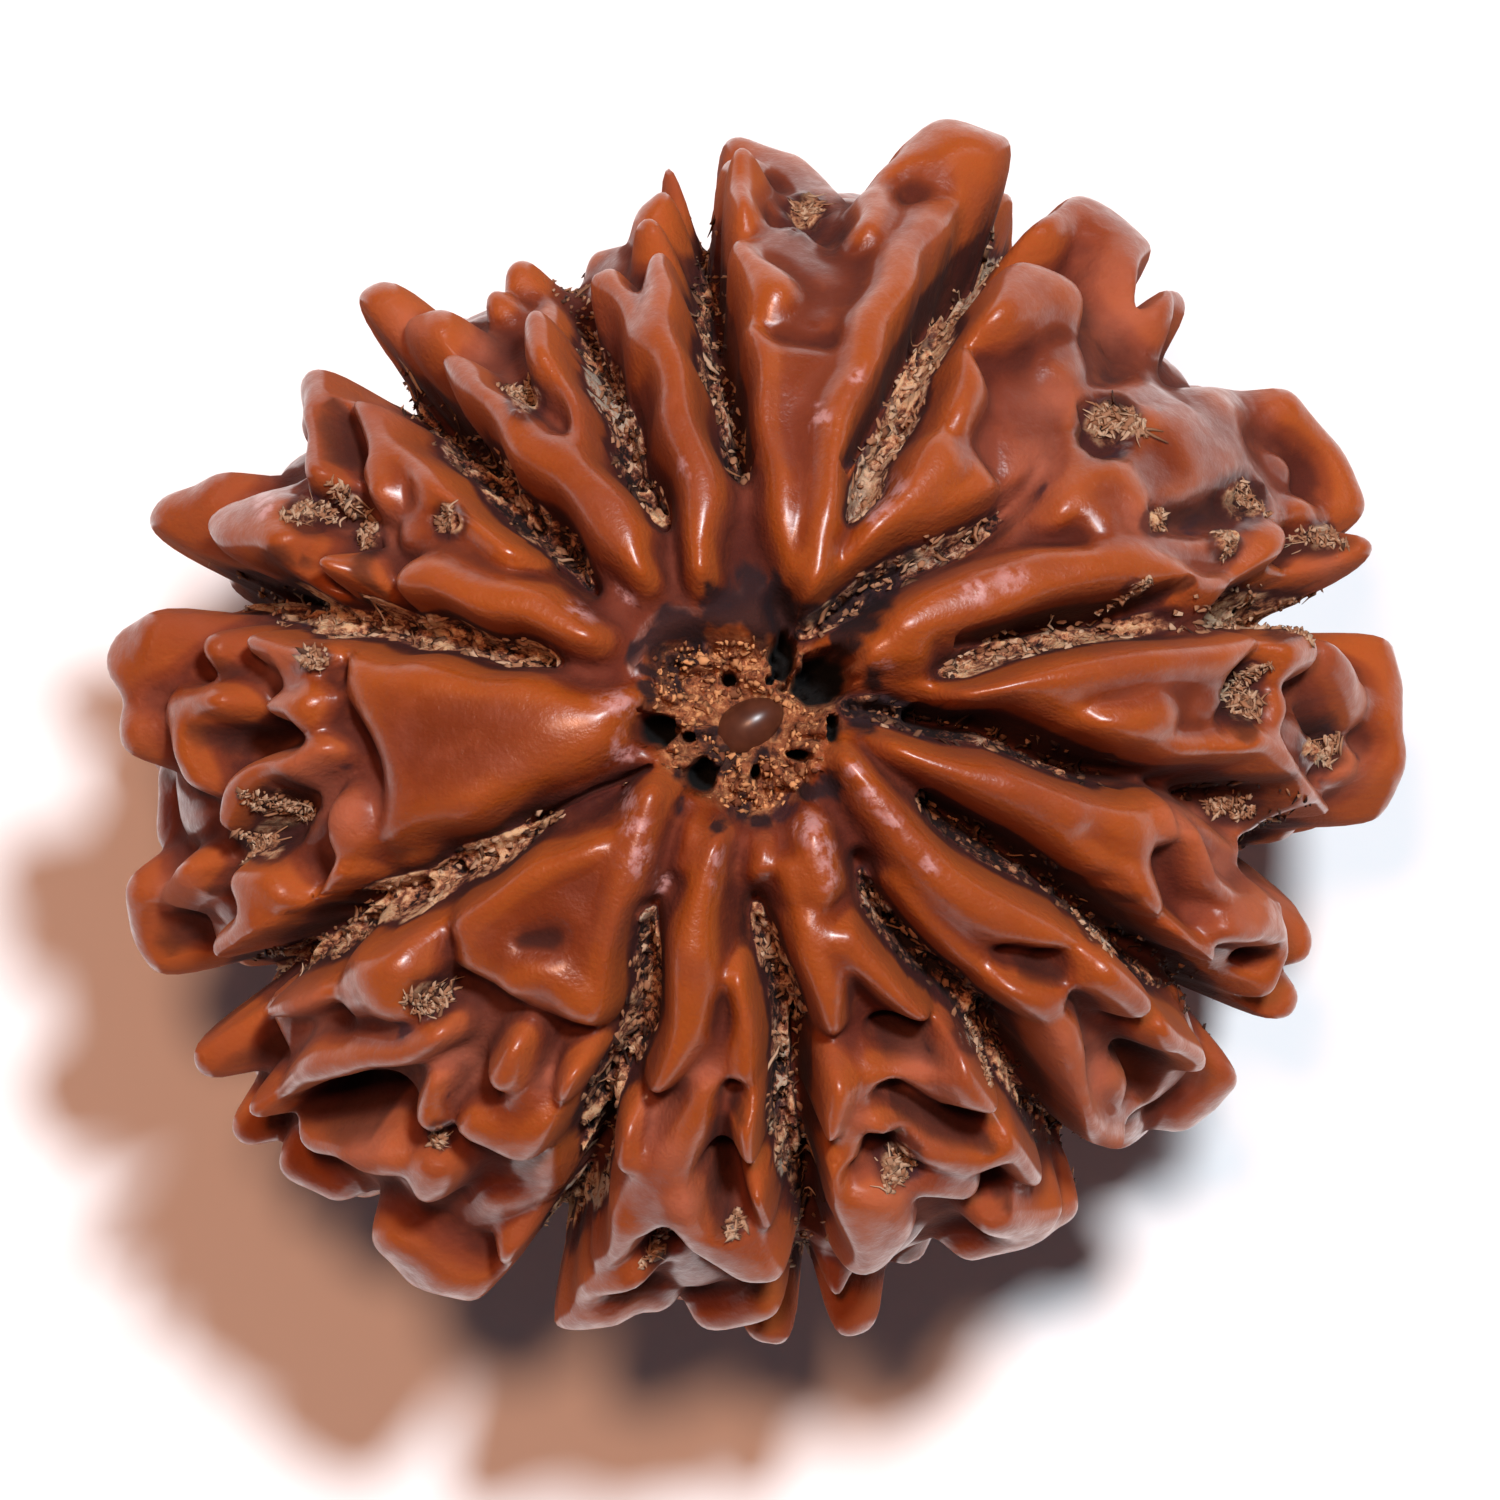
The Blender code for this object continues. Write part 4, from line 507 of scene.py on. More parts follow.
def groove_angles():
    """The direction in which each groove leaves the top, in degrees."""
    return sorted(math.degrees(math.atan2(g[-1][1], g[-1][0])) % 360 for g in GROOVES)


def seeded_knobs():
    """Ridges and knobs of the side and the underside: points, half widths and heights."""
    draw = np.random.default_rng(SEED)
    knobs = []
    angles = groove_angles()
    for start, after in zip(angles, angles[1:] + [angles[0] + 360.0]):
        for row in range(9):
            slope = 0.30 - 0.2 * row
            girth = 11.0 * math.cos(slope) * math.radians(after - start)
            count = max(1, int(girth / 1.55))
            for index in range(count):
                share = (index + 0.5 + draw.uniform(-0.22, 0.22)) / count
                angle = start + (after - start) * (0.12 + 0.76 * share)
                middle = slope + draw.uniform(-0.06, 0.06)
                lean = draw.uniform(-0.5, 0.5)
                length = draw.uniform(0.02, 0.1)
                height = draw.uniform(0.7, 1.5) if slope < -0.15 else draw.uniform(0.3, 0.6)
                room = float(round_table(REACH, angle) - body_radius(angle)) - BODY_HEIGHT
                height = min(height, max(0.2, room / max(math.cos(middle), 0.3)))
                points = []
                for end in (-1.0, 1.0):
                    turn = angle + end * length * math.degrees(lean) / math.cos(middle)
                    points.append(body_point(np.array(turn),
                                             np.array(middle + end * length))[0])
                width = draw.uniform(0.6, 0.95)
                knobs.append((points, [width, width * draw.uniform(0.7, 1.0)],
                              [height, height * draw.uniform(0.7, 1.0)]))
    return knobs


def seeded_pits():
    """Small pits of the side and the underside: point, half width and depth."""
    draw = np.random.default_rng(SEED + 1)
    pits = []
    for _ in range(90):
        angle = draw.uniform(0.0, 360.0)
        slope = math.asin(draw.uniform(-0.97, 0.1))
        pits.append((body_point(np.array(angle), np.array(slope))[0],
                     draw.uniform(0.25, 0.45), draw.uniform(0.5, 0.9)))
    return pits


def surface_height(places, outs):
    """The height of the finished surface over each point of the body."""
    count = len(places)
    moved = places + wandering(places)
    raised = np.zeros(count)
    for height, path in RIDGES:
        points = [under_seen_place(x, y, BODY_HEIGHT + 0.9 * height) for x, y, width in path]
        add_stroke(moved, raised, points, [width * RIDGE_WIDER for x, y, width in path],
                   [height] * len(path), *RIDGE_SHAPE)
    for width, path in SIDE_KNOBS:
        pairs = [at_level(x, y, level) for x, y, level in path]
        add_stroke(moved, raised, [point for point, height in pairs], [width] * len(path),
                   [height for point, height in pairs], *KNOB_SHAPE)
    for points, widths, heights in seeded_knobs():
        add_stroke(places, raised, points, widths, heights, *SEEDED_SHAPE)
    top = places[:, 2] > 1.0
    for height, edge, corners in PLATES:
        seen = moved[top] + outs[top] * (BODY_HEIGHT + height)
        depth = inside_depth(seen[:, 0], seen[:, 1], corners)
        rise = height * (1.0 - (1.0 - np.clip(depth / edge, 0.0, 1.0)) ** 2) ** 0.5
        raised[top] = (raised[top] ** 6 + rise ** 6) ** (1.0 / 6.0)
    cut = np.zeros(count)
    for groove in GROOVES:
        points, widths = groove_path(groove)
        add_stroke(moved, cut, points, [width * GROOVE_LIP for width in widths],
                   [1.0] * len(points), *GROOVE_SHAPE)
    gap = np.sqrt(1.0 - np.clip(cut, 0.0, 1.0))
    climb = np.clip((gap - GROOVE_FLOOR) / (1.0 - GROOVE_FLOOR), 0.0, 1.0)
    cut = 1.0 - np.sqrt(1.0 - (1.0 - climb) ** 2)
    pits = np.zeros(count)
    seen = places + outs * (BODY_HEIGHT + raised)[:, None]
    for depth, path in PITS:
        points = [under_surface(seen, places, x, y) for x, y, width in path]
        add_stroke(places, pits, points, [width * PIT_WIDER for x, y, width in path],
                   [depth] * len(path), *PIT_SHAPE)
    for point, width, depth in seeded_pits():
        add_stroke(places, pits, [point], [width], [depth], *PIT_SHAPE)
    height = (BODY_HEIGHT + raised) * (1.0 - cut) - GROOVE_DEPTH * cut
    under = places[:, 2] < 0.0
    across = np.hypot(places[:, 0], places[:, 1])
    scar = np.where(under, np.clip(1.0 - (across / SCAR_RADIUS) ** 2, 0.0, 1.0), 0.0)
    return height - pits * (1.0 - 0.6 * cut) - SCAR_DEPTH * scar


# narrow deep gaps beside the fibre, which the material also paints dark as shade: depth, then x, y
# and half width
CRACKS = [
    (1.2, [(-0.25, 5.2, 0.18), (-0.45, 6.2, 0.22), (-0.7, 7.4, 0.25), (-0.85, 9.3, 0.2)]),
    (1.0, [(4.0, 1.8, 0.15), (5.5, 2.15, 0.2), (7.0, 2.4, 0.22), (8.3, 2.75, 0.2)]),
    (1.2, [(3.0, 0.3, 0.25), (4.5, 0.15, 0.3), (5.6, -0.35, 0.32), (6.6, -0.85, 0.3),
           (7.3, -0.85, 0.2)]),
    (1.1, [(3.2, -1.3, 0.2), (4.5, -2.05, 0.25), (5.5, -2.7, 0.28), (6.5, -3.4, 0.3),
           (7.6, -4.3, 0.3), (8.8, -5.4, 0.25)]),
    (1.1, [(4.3, -5.4, 0.2), (5.2, -6.5, 0.25), (6.0, -8.0, 0.25)]),
    (1.1, [(0.75, -5.5, 0.2), (0.9, -7.0, 0.25), (1.05, -8.3, 0.25), (1.05, -9.8, 0.25)]),
    (1.1, [(-2.9, -7.4, 0.2), (-3.2, -8.3, 0.28), (-3.7, -9.0, 0.2)]),
    (0.9, [(-4.1, -10.6, 0.3)]),
    (1.1, [(-8.0, -3.3, 0.25), (-9.0, -3.95, 0.3), (-9.8, -4.55, 0.3), (-10.7, -5.2, 0.3)]),
    (1.1, [(-8.6, 2.55, 0.22), (-9.7, 2.8, 0.25), (-10.5, 2.6, 0.25)]),
    (0.9, [(-4.9, 4.95, 0.2), (-5.8, 5.85, 0.28), (-6.8, 6.8, 0.28)]),
    (0.5, [(-2.2, -0.75, 0.09), (-3.3, -1.2, 0.08), (-4.4, -1.75, 0.08)]),
    (1.0, [(1.7, 5.3, 0.12), (2.3, 6.5, 0.18), (2.85, 7.6, 0.2), (3.55, 8.8, 0.2),
           (4.4, 9.5, 0.16)]),
]

# places with dull pinkish skin: x, y and radius
PALE = [
    (5.6, 5.2, 0.7), (5.9, 6.6, 0.6), (7.3, 8.3, 0.8), (4.9, 4.4, 0.5), (8.4, -1.8, 0.6),
    (9.1, -2.5, 0.6), (9.8, -3.5, 0.5), (6.6, -7.0, 0.8), (7.0, 9.0, 0.6), (3.2, -6.6, 0.6),
    (2.6, -9.3, 0.7), (1.9, -7.7, 0.4), (-1.5, -9.4, 0.6), (-1.8, -8.3, 0.5), (-1.1, -6.9, 0.4),
    (-6.0, -6.6, 0.7), (-7.8, -8.3, 0.8), (-8.9, -0.9, 0.7), (-8.2, -1.8, 0.6), (-7.6, 4.1, 0.6),
    (-9.0, -5.6, 0.6), (-11.6, -3.3, 0.5), (-7.0, 8.0, 0.5), (-7.4, 6.6, 0.6), (7.6, 4.2, 0.5),
    (9.3, 3.6, 0.4), (11.3, 3.2, 0.5), (-2.0, -7.6, 0.4), (-5.6, 7.6, 0.4), (10.6, -3.4, 0.4),
    (5.9, -6.2, 0.5), (7.0, -8.6, 0.6), (-4.2, -6.9, 0.4), (-9.6, 1.3, 0.4), (11.7, -0.8, 0.5),
]

# places painted violet-black as shade, kept in the material to the creases below the crests: x, y
# and radius
CREASE_SHADE_SPOTS = [
    (1.7, 2.4, 0.6), (2.4, 2.8, 0.6), (3.2, 3.4, 0.5), (2.3, 0.25, 0.5), (3.1, 0.3, 0.5),
    (4.0, 0.25, 0.4), (0.5, 2.5, 0.5), (-2.1, 1.5, 0.4), (-1.3, 1.9, 0.5), (-0.5, 2.0, 0.4),
    (-1.7, 0.9, 0.35), (0.6, -1.3, 0.4), (5.8, 4.75, 0.35), (6.5, 6.4, 0.3), (7.1, 5.6, 0.25),
    (9.6, 4.8, 0.4), (8.6, 3.95, 0.4), (11.4, 3.9, 0.35), (9.7, 0.6, 0.3), (11.2, 0.1, 0.4),
    (11.4, -0.8, 0.3), (-8.6, 1.7, 0.35), (-8.9, 2.0, 0.3), (-9.2, 4.5, 0.3), (-8.6, 4.55, 0.35),
    (-6.3, 4.4, 0.35), (-5.8, 4.45, 0.3), (-7.6, 2.6, 0.3), (-10.4, -2.2, 0.3), (-9.7, -1.6, 0.3),
    (-8.5, -0.7, 0.25), (-6.1, -5.7, 0.35), (-7.0, -5.8, 0.35), (-6.1, -7.3, 0.45),
    (-6.4, -8.1, 0.3), (3.4, -6.3, 0.3), (2.8, -8.7, 0.35), (2.0, -9.2, 0.25), (5.3, -6.8, 0.35),
    (-4.3, 6.7, 0.3), (2.1, 5.4, 0.3), (2.6, 6.4, 0.3), (3.1, 7.5, 0.3), (3.7, 8.6, 0.3),
    (4.4, 9.4, 0.3), (-1.1, 8.9, 0.4), (-7.9, -3.2, 0.4), (0.3, -7.2, 0.3), (-0.4, 1.9, 0.3),
]

# places round the hollow painted near-black as the shade on its rim and walls: x, y and radius
HOLLOW_SHADE_SPOTS = [
    (-1.9, 1.9, 0.5), (-1.3, 2.1, 0.55), (-0.7, 2.2, 0.6), (0.0, 2.3, 0.6), (0.6, 2.3, 0.6),
    (1.2, 2.2, 0.5), (1.8, 2.1, 0.55), (2.1, 1.2, 0.4), (2.0, 0.4, 0.45), (2.5, 0.3, 0.4),
    (-2.3, 1.3, 0.4), (-2.5, 0.7, 0.3), (-1.6, 1.2, 0.35), (0.2, -1.8, 0.4), (-0.5, -1.6, 0.35),
    (-1.6, -1.2, 0.25), (1.1, -1.2, 0.3), (-0.95, 0.0, 0.3), (-0.7, -0.4, 0.35),
    (-0.1, -0.5, 0.35), (2.9, 3.3, 0.35), (2.3, 2.8, 0.45), (3.4, 0.2, 0.4),
    (-2.15, 1.8, 0.45), (-1.6, 2.5, 0.35), (-0.9, 2.7, 0.3), (-0.3, 2.9, 0.4), (0.3, 2.8, 0.35),
]

# places painted with a pale violet highlight, standing in for the light's glint on the ridges: x, y
# and radius
PAINTED_HIGHLIGHTS = [
    (-2.55, -1.4, 0.3), (-2.55, -2.0, 0.32), (-2.5, -2.6, 0.3), (-2.7, -0.4, 0.3),
    (-0.9, -2.4, 0.17), (-0.9, -2.9, 0.17), (-0.95, -3.4, 0.15), (1.0, -1.9, 0.3),
    (1.25, -2.4, 0.32), (1.4, -2.9, 0.25), (1.8, -0.8, 0.3), (2.2, -1.3, 0.3), (2.8, -1.9, 0.22),
    (-2.75, 2.75, 0.25), (2.4, 1.3, 0.25), (-2.9, 0.5, 0.35), (-2.0, -3.1, 0.2),
    (2.3, 4.4, 0.3), (2.7, 4.9, 0.25), (4.2, 2.7, 0.35), (5.0, 2.9, 0.35), (-3.5, 2.3, 0.3),
    (1.3, 6.2, 0.25), (1.9, 7.0, 0.25), (-9.9, 4.4, 0.3), (-1.5, 5.2, 0.2), (3.4, -2.6, 0.25),
]

# pits that hold a tuft of fibre: x, y and radius
TUFTS = [
    (6.9, 6.0, 0.55), (9.5, 4.5, 0.5), (7.8, 4.1, 0.25), (11.1, 3.75, 0.35), (9.5, 0.5, 0.4),
    (9.75, 1.1, 0.25), (11.1, -0.4, 0.4), (9.1, -1.5, 0.3), (9.6, -1.6, 0.2), (2.7, -8.45, 0.42),
    (4.2, -6.0, 0.35), (-6.5, -5.3, 0.4), (-9.4, -1.5, 0.5), (-9.7, -2.2, 0.4), (-8.9, 4.3, 0.4),
    (-8.0, 4.4, 0.3), (-7.7, 3.8, 0.3), (-6.1, 4.1, 0.3), (-4.6, 6.5, 0.35), (0.9, 10.2, 0.4),
    (-8.8, 1.4, 0.25), (-6.3, -8.0, 0.25), (-2.1, -10.3, 0.25), (-0.5, -9.8, 0.2),
    (9.2, 3.7, 0.3), (10.4, 2.2, 0.4), (7.4, 2.75, 0.2), (6.6, -4.0, 0.2),
]

# pith crumbs fill the hollow inside this outline
HOLLOW = [(-2.1, 1.7), (-1.2, 1.9), (0.0, 1.9), (1.2, 1.7), (1.9, 1.2), (1.7, 0.2), (1.2, -0.8),
          (0.5, -1.7), (-0.2, -1.9), (-1.2, -1.3), (-2.0, -0.7), (-2.3, 0.4)]

# holes in the pith, painted black as the shade inside them: x, y, half width across and along
HOLES = [
    (1.2, 1.0, 0.5, 0.5), (0.45, 1.4, 0.24, 0.5), (-2.0, 0.0, 0.33, 0.3), (-1.15, -0.9, 0.26, 0.32),
    (-0.65, 1.05, 0.13, 0.13), (1.4, 0.05, 0.14, 0.28), (0.75, -0.5, 0.2, 0.1),
    (-1.4, -0.15, 0.14, 0.1), (0.2, 1.0, 0.1, 0.1), (-0.1, -0.85, 0.1, 0.14),
]

# how pale the fibre of each groove is, in the order of the grooves
FIBRE_TONES = [0.5, 0.9, 0.65, 0.85, 0.15, 0.2, 0.3, 0.65, 0.6, 0.8, 0.8, 0.4, 0.55]

MM = 0.001
UP_RINGS = 300
DOWN_RINGS = 130
AROUND = 900
KEPT_FACES = 190000


def lattice_noise(points, cell, seed):
    """Smooth noise from 0 to 1: eased blends of random values held on a lattice of that cell."""
    values = np.random.default_rng(seed).random(4096)
    scaled = points / cell
    low = np.floor(scaled).astype(np.int64)
    part = scaled - low
    part = part * part * (3.0 - 2.0 * part)
    total = np.zeros(len(points))
    for dx in (0, 1):
        for dy in (0, 1):
            for dz in (0, 1):
                index = ((low[:, 0] + dx) * 73856093 ^ (low[:, 1] + dy) * 19349663
                         ^ (low[:, 2] + dz) * 83492791) & 4095
                share = np.where(dx, part[:, 0], 1.0 - part[:, 0])
                share = share * np.where(dy, part[:, 1], 1.0 - part[:, 1])
                share = share * np.where(dz, part[:, 2], 1.0 - part[:, 2])
                total += share * values[index]
    return total


def make_mesh(name, points, corners, sizes):
    """A mesh from points in millimetres, flat corner indices and the corner count of each face."""
    mesh = bpy.data.meshes.new(name)
    points = np.asarray(points, float) * MM
    mesh.vertices.add(len(points))
    mesh.vertices.foreach_set("co", points.ravel())
    mesh.loops.add(len(corners))
    mesh.loops.foreach_set("vertex_index", np.asarray(corners, np.int32))
    mesh.polygons.add(len(sizes))
    starts = np.concatenate([[0], np.cumsum(sizes)[:-1]])
    mesh.polygons.foreach_set("loop_start", starts.astype(np.int32))
    mesh.update(calc_edges=True)
    mesh.validate()
    mesh.polygons.foreach_set("use_smooth", np.ones(len(mesh.polygons), bool))
    return mesh


def add_attribute(mesh, name, values):
    """A number for each point of the mesh, which the material can read."""
    layer = mesh.attributes.new(name, "FLOAT", "POINT")
    layer.data.foreach_set("value", np.asarray(values, np.float32))


def spots(places, seen, table):
    """How much each place lies in the soft round spots of a table, from 0 to 1."""
    total = np.zeros(len(places))
    for x, y, radius in table:
        gap = np.hypot(seen[:, 0] - x, seen[:, 1] - y)
        total = np.maximum(total, np.exp(-(gap / radius) ** 2 * 1.2))
    return np.where(places[:, 2] > 0.0, total, 0.0)


def path_share(places, seen, paths, wider):
    """How deep each place is in the given strokes, from 0 to 1."""
    share = np.zeros(len(places))
    for depth, path in paths:
        points = [under_surface(seen, places, x, y) for x, y, width in path]
        add_stroke(places, share, points, [width * wider for x, y, width in path],
                   [1.0] * len(path), 2.0, 1.0)
    return np.clip(share, 0.0, 1.0)


def to_frame(points):
    """The same shift as the solid has: the resting flats at height nought, the box centred."""
    moved = np.array(points, float)
    moved[..., 2] -= REST_LEVEL
    moved[..., 0] -= CENTRE_X
    moved[..., 1] -= CENTRE_Y
    return moved


def bead_grid():
    """Angle and slope of a closed grid of rings with one point at each end, and its faces."""
    slopes = grid_slopes()
    angles = np.arange(AROUND) * 360.0 / AROUND
    angle = np.tile(angles, len(slopes))
    slope = np.repeat(slopes, AROUND)
    angle = np.concatenate([angle, [0.0, 0.0]])
    slope = np.concatenate([slope, [-math.pi / 2, math.pi / 2]])
    row, step = np.meshgrid(np.arange(len(slopes) - 1), np.arange(AROUND), indexing="ij")
    here = row * AROUND + step
    beside = row * AROUND + (step + 1) % AROUND
    quads = np.stack([here, beside, beside + AROUND, here + AROUND], axis=-1).reshape(-1, 4)
    steps = np.arange(AROUND)
    after = (steps + 1) % AROUND
    bottom = len(slopes) * AROUND
    last = (len(slopes) - 1) * AROUND
    low = np.stack([after, steps, np.full(AROUND, bottom)], axis=-1)
    high = np.stack([last + steps, last + after, np.full(AROUND, bottom + 1)], axis=-1)
    corners = np.concatenate([quads.ravel(), low.ravel(), high.ravel()])
    sizes = np.concatenate([np.full(len(quads), 4), np.full(2 * AROUND, 3)])
    return angle, slope, corners, sizes


def grid_slopes():
    """The slopes of the grid's rings from the bottom up, without the two end points."""
    up = np.linspace(0.0, math.pi / 2, UP_RINGS + 1)[:-1]
    down = np.linspace(-math.pi / 2, 0.0, DOWN_RINGS + 1)[1:-1]
    return np.concatenate([down, up])


def eased(field, places, radius):
    """The field on the grid, averaged with bell-shaped weights of that radius in millimetres.

    Along the meridians the weights are a matrix from the length run between the rings. Round
    each ring the averaging is done on the ring's waves, by how long the ring is.
    """
    rows = len(grid_slopes())
    body = field[:-2].reshape(rows, AROUND)
    at = places[:-2].reshape(rows, AROUND, 3)
    run = np.cumsum(np.linalg.norm(np.diff(at, axis=0), axis=2).mean(axis=1))
    run = np.concatenate([[0.0], run])
    weights = np.exp(-0.5 * ((run[:, None] - run[None, :]) / radius) ** 2)
    weights *= np.gradient(run)[None, :]
    body = (weights / weights.sum(axis=1, keepdims=True)) @ body
    girth = np.hypot(at[..., 0], at[..., 1]).mean(axis=1)
    waves = np.fft.rfft(body, axis=1)
    spread = radius / np.maximum(girth, 0.05)
    waves *= np.exp(-0.5 * (spread[:, None] * np.arange(waves.shape[1])[None, :]) ** 2)
    body = np.fft.irfft(waves, n=AROUND, axis=1)
    return np.concatenate([body.ravel(), [body[0].mean(), body[-1].mean()]])


def read_grid(field, points):
    """The value of a field of the grid in the direction of each point of the body."""
    rows = grid_slopes()
    angle = np.degrees(np.arctan2(points[..., 1], points[..., 0])) % 360.0
    across = np.hypot(points[..., 0], points[..., 1]) / body_radius(angle)
    up = points[..., 2] / HALF_HEIGHT
    slope = np.arctan2(np.sign(up) * np.abs(up) ** (ROUNDNESS / 2),
                       np.abs(across) ** (ROUNDNESS / 2))
    row = np.clip(np.interp(slope, rows, np.arange(len(rows))), 0, len(rows) - 1.001)
    step = angle / 360.0 * AROUND
    body = field[:-2].reshape(len(rows), AROUND)
    low_row = row.astype(int)
    low_step = step.astype(int) % AROUND
    next_step = (low_step + 1) % AROUND
    part_row = row - low_row
    part_step = step - step.astype(int)
    low = body[low_row, low_step] * (1 - part_step) + body[low_row, next_step] * part_step
    high = (body[low_row + 1, low_step] * (1 - part_step)
            + body[low_row + 1, next_step] * part_step)
    return low * (1 - part_row) + high * part_row


def steepness(height, places):
    """How fast the height changes along the body, as a rise over a run, on the grid."""
    rows = len(grid_slopes())
    body = height[:-2].reshape(rows, AROUND)
    at = places[:-2].reshape(rows, AROUND, 3)
    run = np.cumsum(np.linalg.norm(np.diff(at, axis=0), axis=2).mean(axis=1))
    run = np.concatenate([[0.0], run])
    upward = np.gradient(body, run, axis=0)
    arc = np.hypot(at[..., 0], at[..., 1]) * 4.0 * math.pi / AROUND
    sideward = (np.roll(body, -1, axis=1) - np.roll(body, 1, axis=1)) / np.maximum(arc, 0.02)
    return np.concatenate([np.hypot(upward, sideward).ravel(), [0.0, 0.0]])


def groove_runs(places):
    """How deep in a groove each place is, and its run along and across the nearest one."""
    share = np.zeros(len(places))
    along = np.zeros(len(places))
    across = np.zeros(len(places))
    paleness = np.full(len(places), 0.6)
    for number, groove in enumerate(GROOVES):
        points, widths = groove_path(groove)
        points = np.array(points)
        run = number * 40.0
        for index in range(len(points) - 1):
            start = points[index]
            step = points[index + 1] - start
            length = np.linalg.norm(step)
            middle = start + step / 2
            near = np.nonzero(np.linalg.norm(places - middle, axis=1) < length / 2 + 0.9)[0]
            if len(near):
                gap = places[near] - start
                part = np.clip(gap @ step / length ** 2, 0.0, 1.0)
                off = gap - part[:, None] * step
                width = widths[index] + part * (widths[index + 1] - widths[index])
                width = np.where(width > 0.15, width, 0.01)
                far = np.linalg.norm(off, axis=1)
                here = np.clip(1.0 - (far / width) ** 2, 0.0, 1.0)
                side = np.cross(unit(body_point_out(middle)), step / length)
                better = here > share[near]
                chosen = near[better]
                share[chosen] = here[better]
                along[chosen] = run + part[better] * length
                across[chosen] = (off @ side)[better]
                paleness[chosen] = FIBRE_TONES[number]
            run += length
    return share, along, across, paleness


def body_point_out(point):
    """The way out of the body at one point of it."""
    place, out = body_frame(np.asarray(point))
    return out


def base_height(places, outs):
    """The solid's surface, eased as the solid is, with the skin's slow waves and the cracks."""
    height = eased(surface_height(places, outs), places, 0.13)
    seen = places + outs * height[:, None]
    cracks = np.zeros(len(places))
    for depth, path in CRACKS:
        points = [under_surface(seen, places, x, y) for x, y, width in path]
        add_stroke(places, cracks, points, [width for x, y, width in path],
                   [depth] * len(path), 2.0, 0.8)
    wave = lattice_noise(places, 1.3, 5) + 0.45 * lattice_noise(places, 0.55, 4) - 0.7
    return height - cracks * 0.7 + 0.15 * wave


def bead_piece(angle, slope, corners, sizes, places, outs, base):
    """The whole stone on a fine grid, thinned, with the masks that its material reads."""
    seen = places + outs * base[:, None]
    fibre, along, across, paleness = groove_runs(places + wandering(places))
    pits = path_share(places, seen, PITS[2:], 1.3)
    tufts = spots(places, seen, TUFTS)
    cracks = path_share(places, seen, CRACKS, 1.2)
    blots = np.stack([lattice_noise(places, cell, seed) - 0.5
                      for cell, seed in ((0.45, 30), (0.4, 31), (0.15, 32), (0.14, 33))], axis=-1)
    ragged = seen.copy()
    ragged[:, :2] += 0.9 * blots[:, :2] + 0.35 * blots[:, 2:]
    hollow = np.zeros(len(places))
    top = places[:, 2] > 5.0
    hollow[top] = np.clip(inside_depth(places[top, 0], places[top, 1], HOLLOW) / 0.35, 0.0, 1.0)
    grain = lattice_noise(places, 0.16, 6) - 0.5
    crumbs = lattice_noise(places, 0.34, 7) - 0.5
    bits = lattice_noise(places, 0.09, 9) - 0.5
    runs = np.stack([along / 0.5 + crumbs, across / 0.1 + 2.0 * crumbs, crumbs], axis=-1)
    streaks = lattice_noise(runs, 1.0, 8) - 0.5
    pores = np.clip(0.5 - np.abs(crumbs + 0.6 * grain) * 3.0, 0.0, 1.0)
    round_lump = np.clip(np.hypot((places[:, 0] + 0.2) / 0.9, (places[:, 1] - 0.1) / 0.7), 0.5, 1.5)
    rough = hollow * (round_lump - 0.5)
    height = base + rough * (0.5 * grain + 0.8 * crumbs - 0.6 * pores)
    height -= 0.25 * hollow * np.clip(1.5 - round_lump, 0.0, 1.0)
    fibre = np.clip(fibre * 1.5, 0.0, 1.0)
    mat = fibre * np.clip(1.0 - cracks * 1.4, 0.0, 1.0)
    height += mat * (0.3 + 0.5 * crumbs + 0.4 * streaks + 0.35 * grain + 0.2 * bits)
    height += tufts * (0.5 * grain + 0.25 * bits + 0.2)
    black = np.zeros(len(places))
    for x, y, wide, tall in HOLES:
        gap = np.hypot((places[:, 0] - x) / wide, (places[:, 1] - y) / tall) + 0.5 * grain
        black = np.maximum(black, np.where(top, np.clip(2.5 * (1.2 - gap), 0.0, 1.0), 0.0))
    height -= 1.5 * black ** 0.7
    points = places + outs * height[:, None]
    points[:, 2] = np.maximum(points[:, 2], REST_LEVEL)
    mesh = make_mesh("bead_surface", to_frame(points), corners, sizes)
    # relief and crest say how far the surface stands above its eased self; the stone's material
    # darkens low places as painted shade and lightens crests as painted light
    add_attribute(mesh, "relief", base - eased(base, places, 0.9))
    add_attribute(mesh, "crest", base - eased(base, places, 0.3))
    add_attribute(mesh, "crumb", crumbs + 0.8 * grain + 0.5 * bits)
    add_attribute(mesh, "fibre", np.maximum(mat, tufts))
    add_attribute(mesh, "streak", streaks + np.where(tufts > 0.3, 0.3, 1.0 * (paleness - 0.6)))
    add_attribute(mesh, "pit", np.maximum(pits, cracks))
    add_attribute(mesh, "black", np.maximum(black, 0.8 * hollow * pores))
    add_attribute(mesh, "pith", hollow)
    add_attribute(mesh, "pale", spots(places, seen, PALE))
    # painted shade spots in the creases, with ragged edges
    add_attribute(mesh, "crease_shade", spots(places, ragged, CREASE_SHADE_SPOTS))
    # painted shade round the hollow, with ragged edges
    add_attribute(mesh, "hollow_shade", spots(places, ragged, HOLLOW_SHADE_SPOTS))
    add_attribute(mesh, "steep", steepness(base, places))
    # the painted highlight spots, with ragged edges
    add_attribute(mesh, "painted_highlight", spots(places, ragged * 0.4 + seen * 0.6, PAINTED_HIGHLIGHTS))
    piece = bpy.data.objects.new("bead_surface", mesh)
    bpy.context.scene.collection.objects.link(piece)
    thin = piece.modifiers.new("fewer_faces", "DECIMATE")
    thin.ratio = min(1.0, KEPT_FACES / (2.0 * len(sizes)))
    graph = bpy.context.evaluated_depsgraph_get()
    piece.data = bpy.data.meshes.new_from_object(piece.evaluated_get(graph))
    piece.modifiers.clear()
    return piece, height


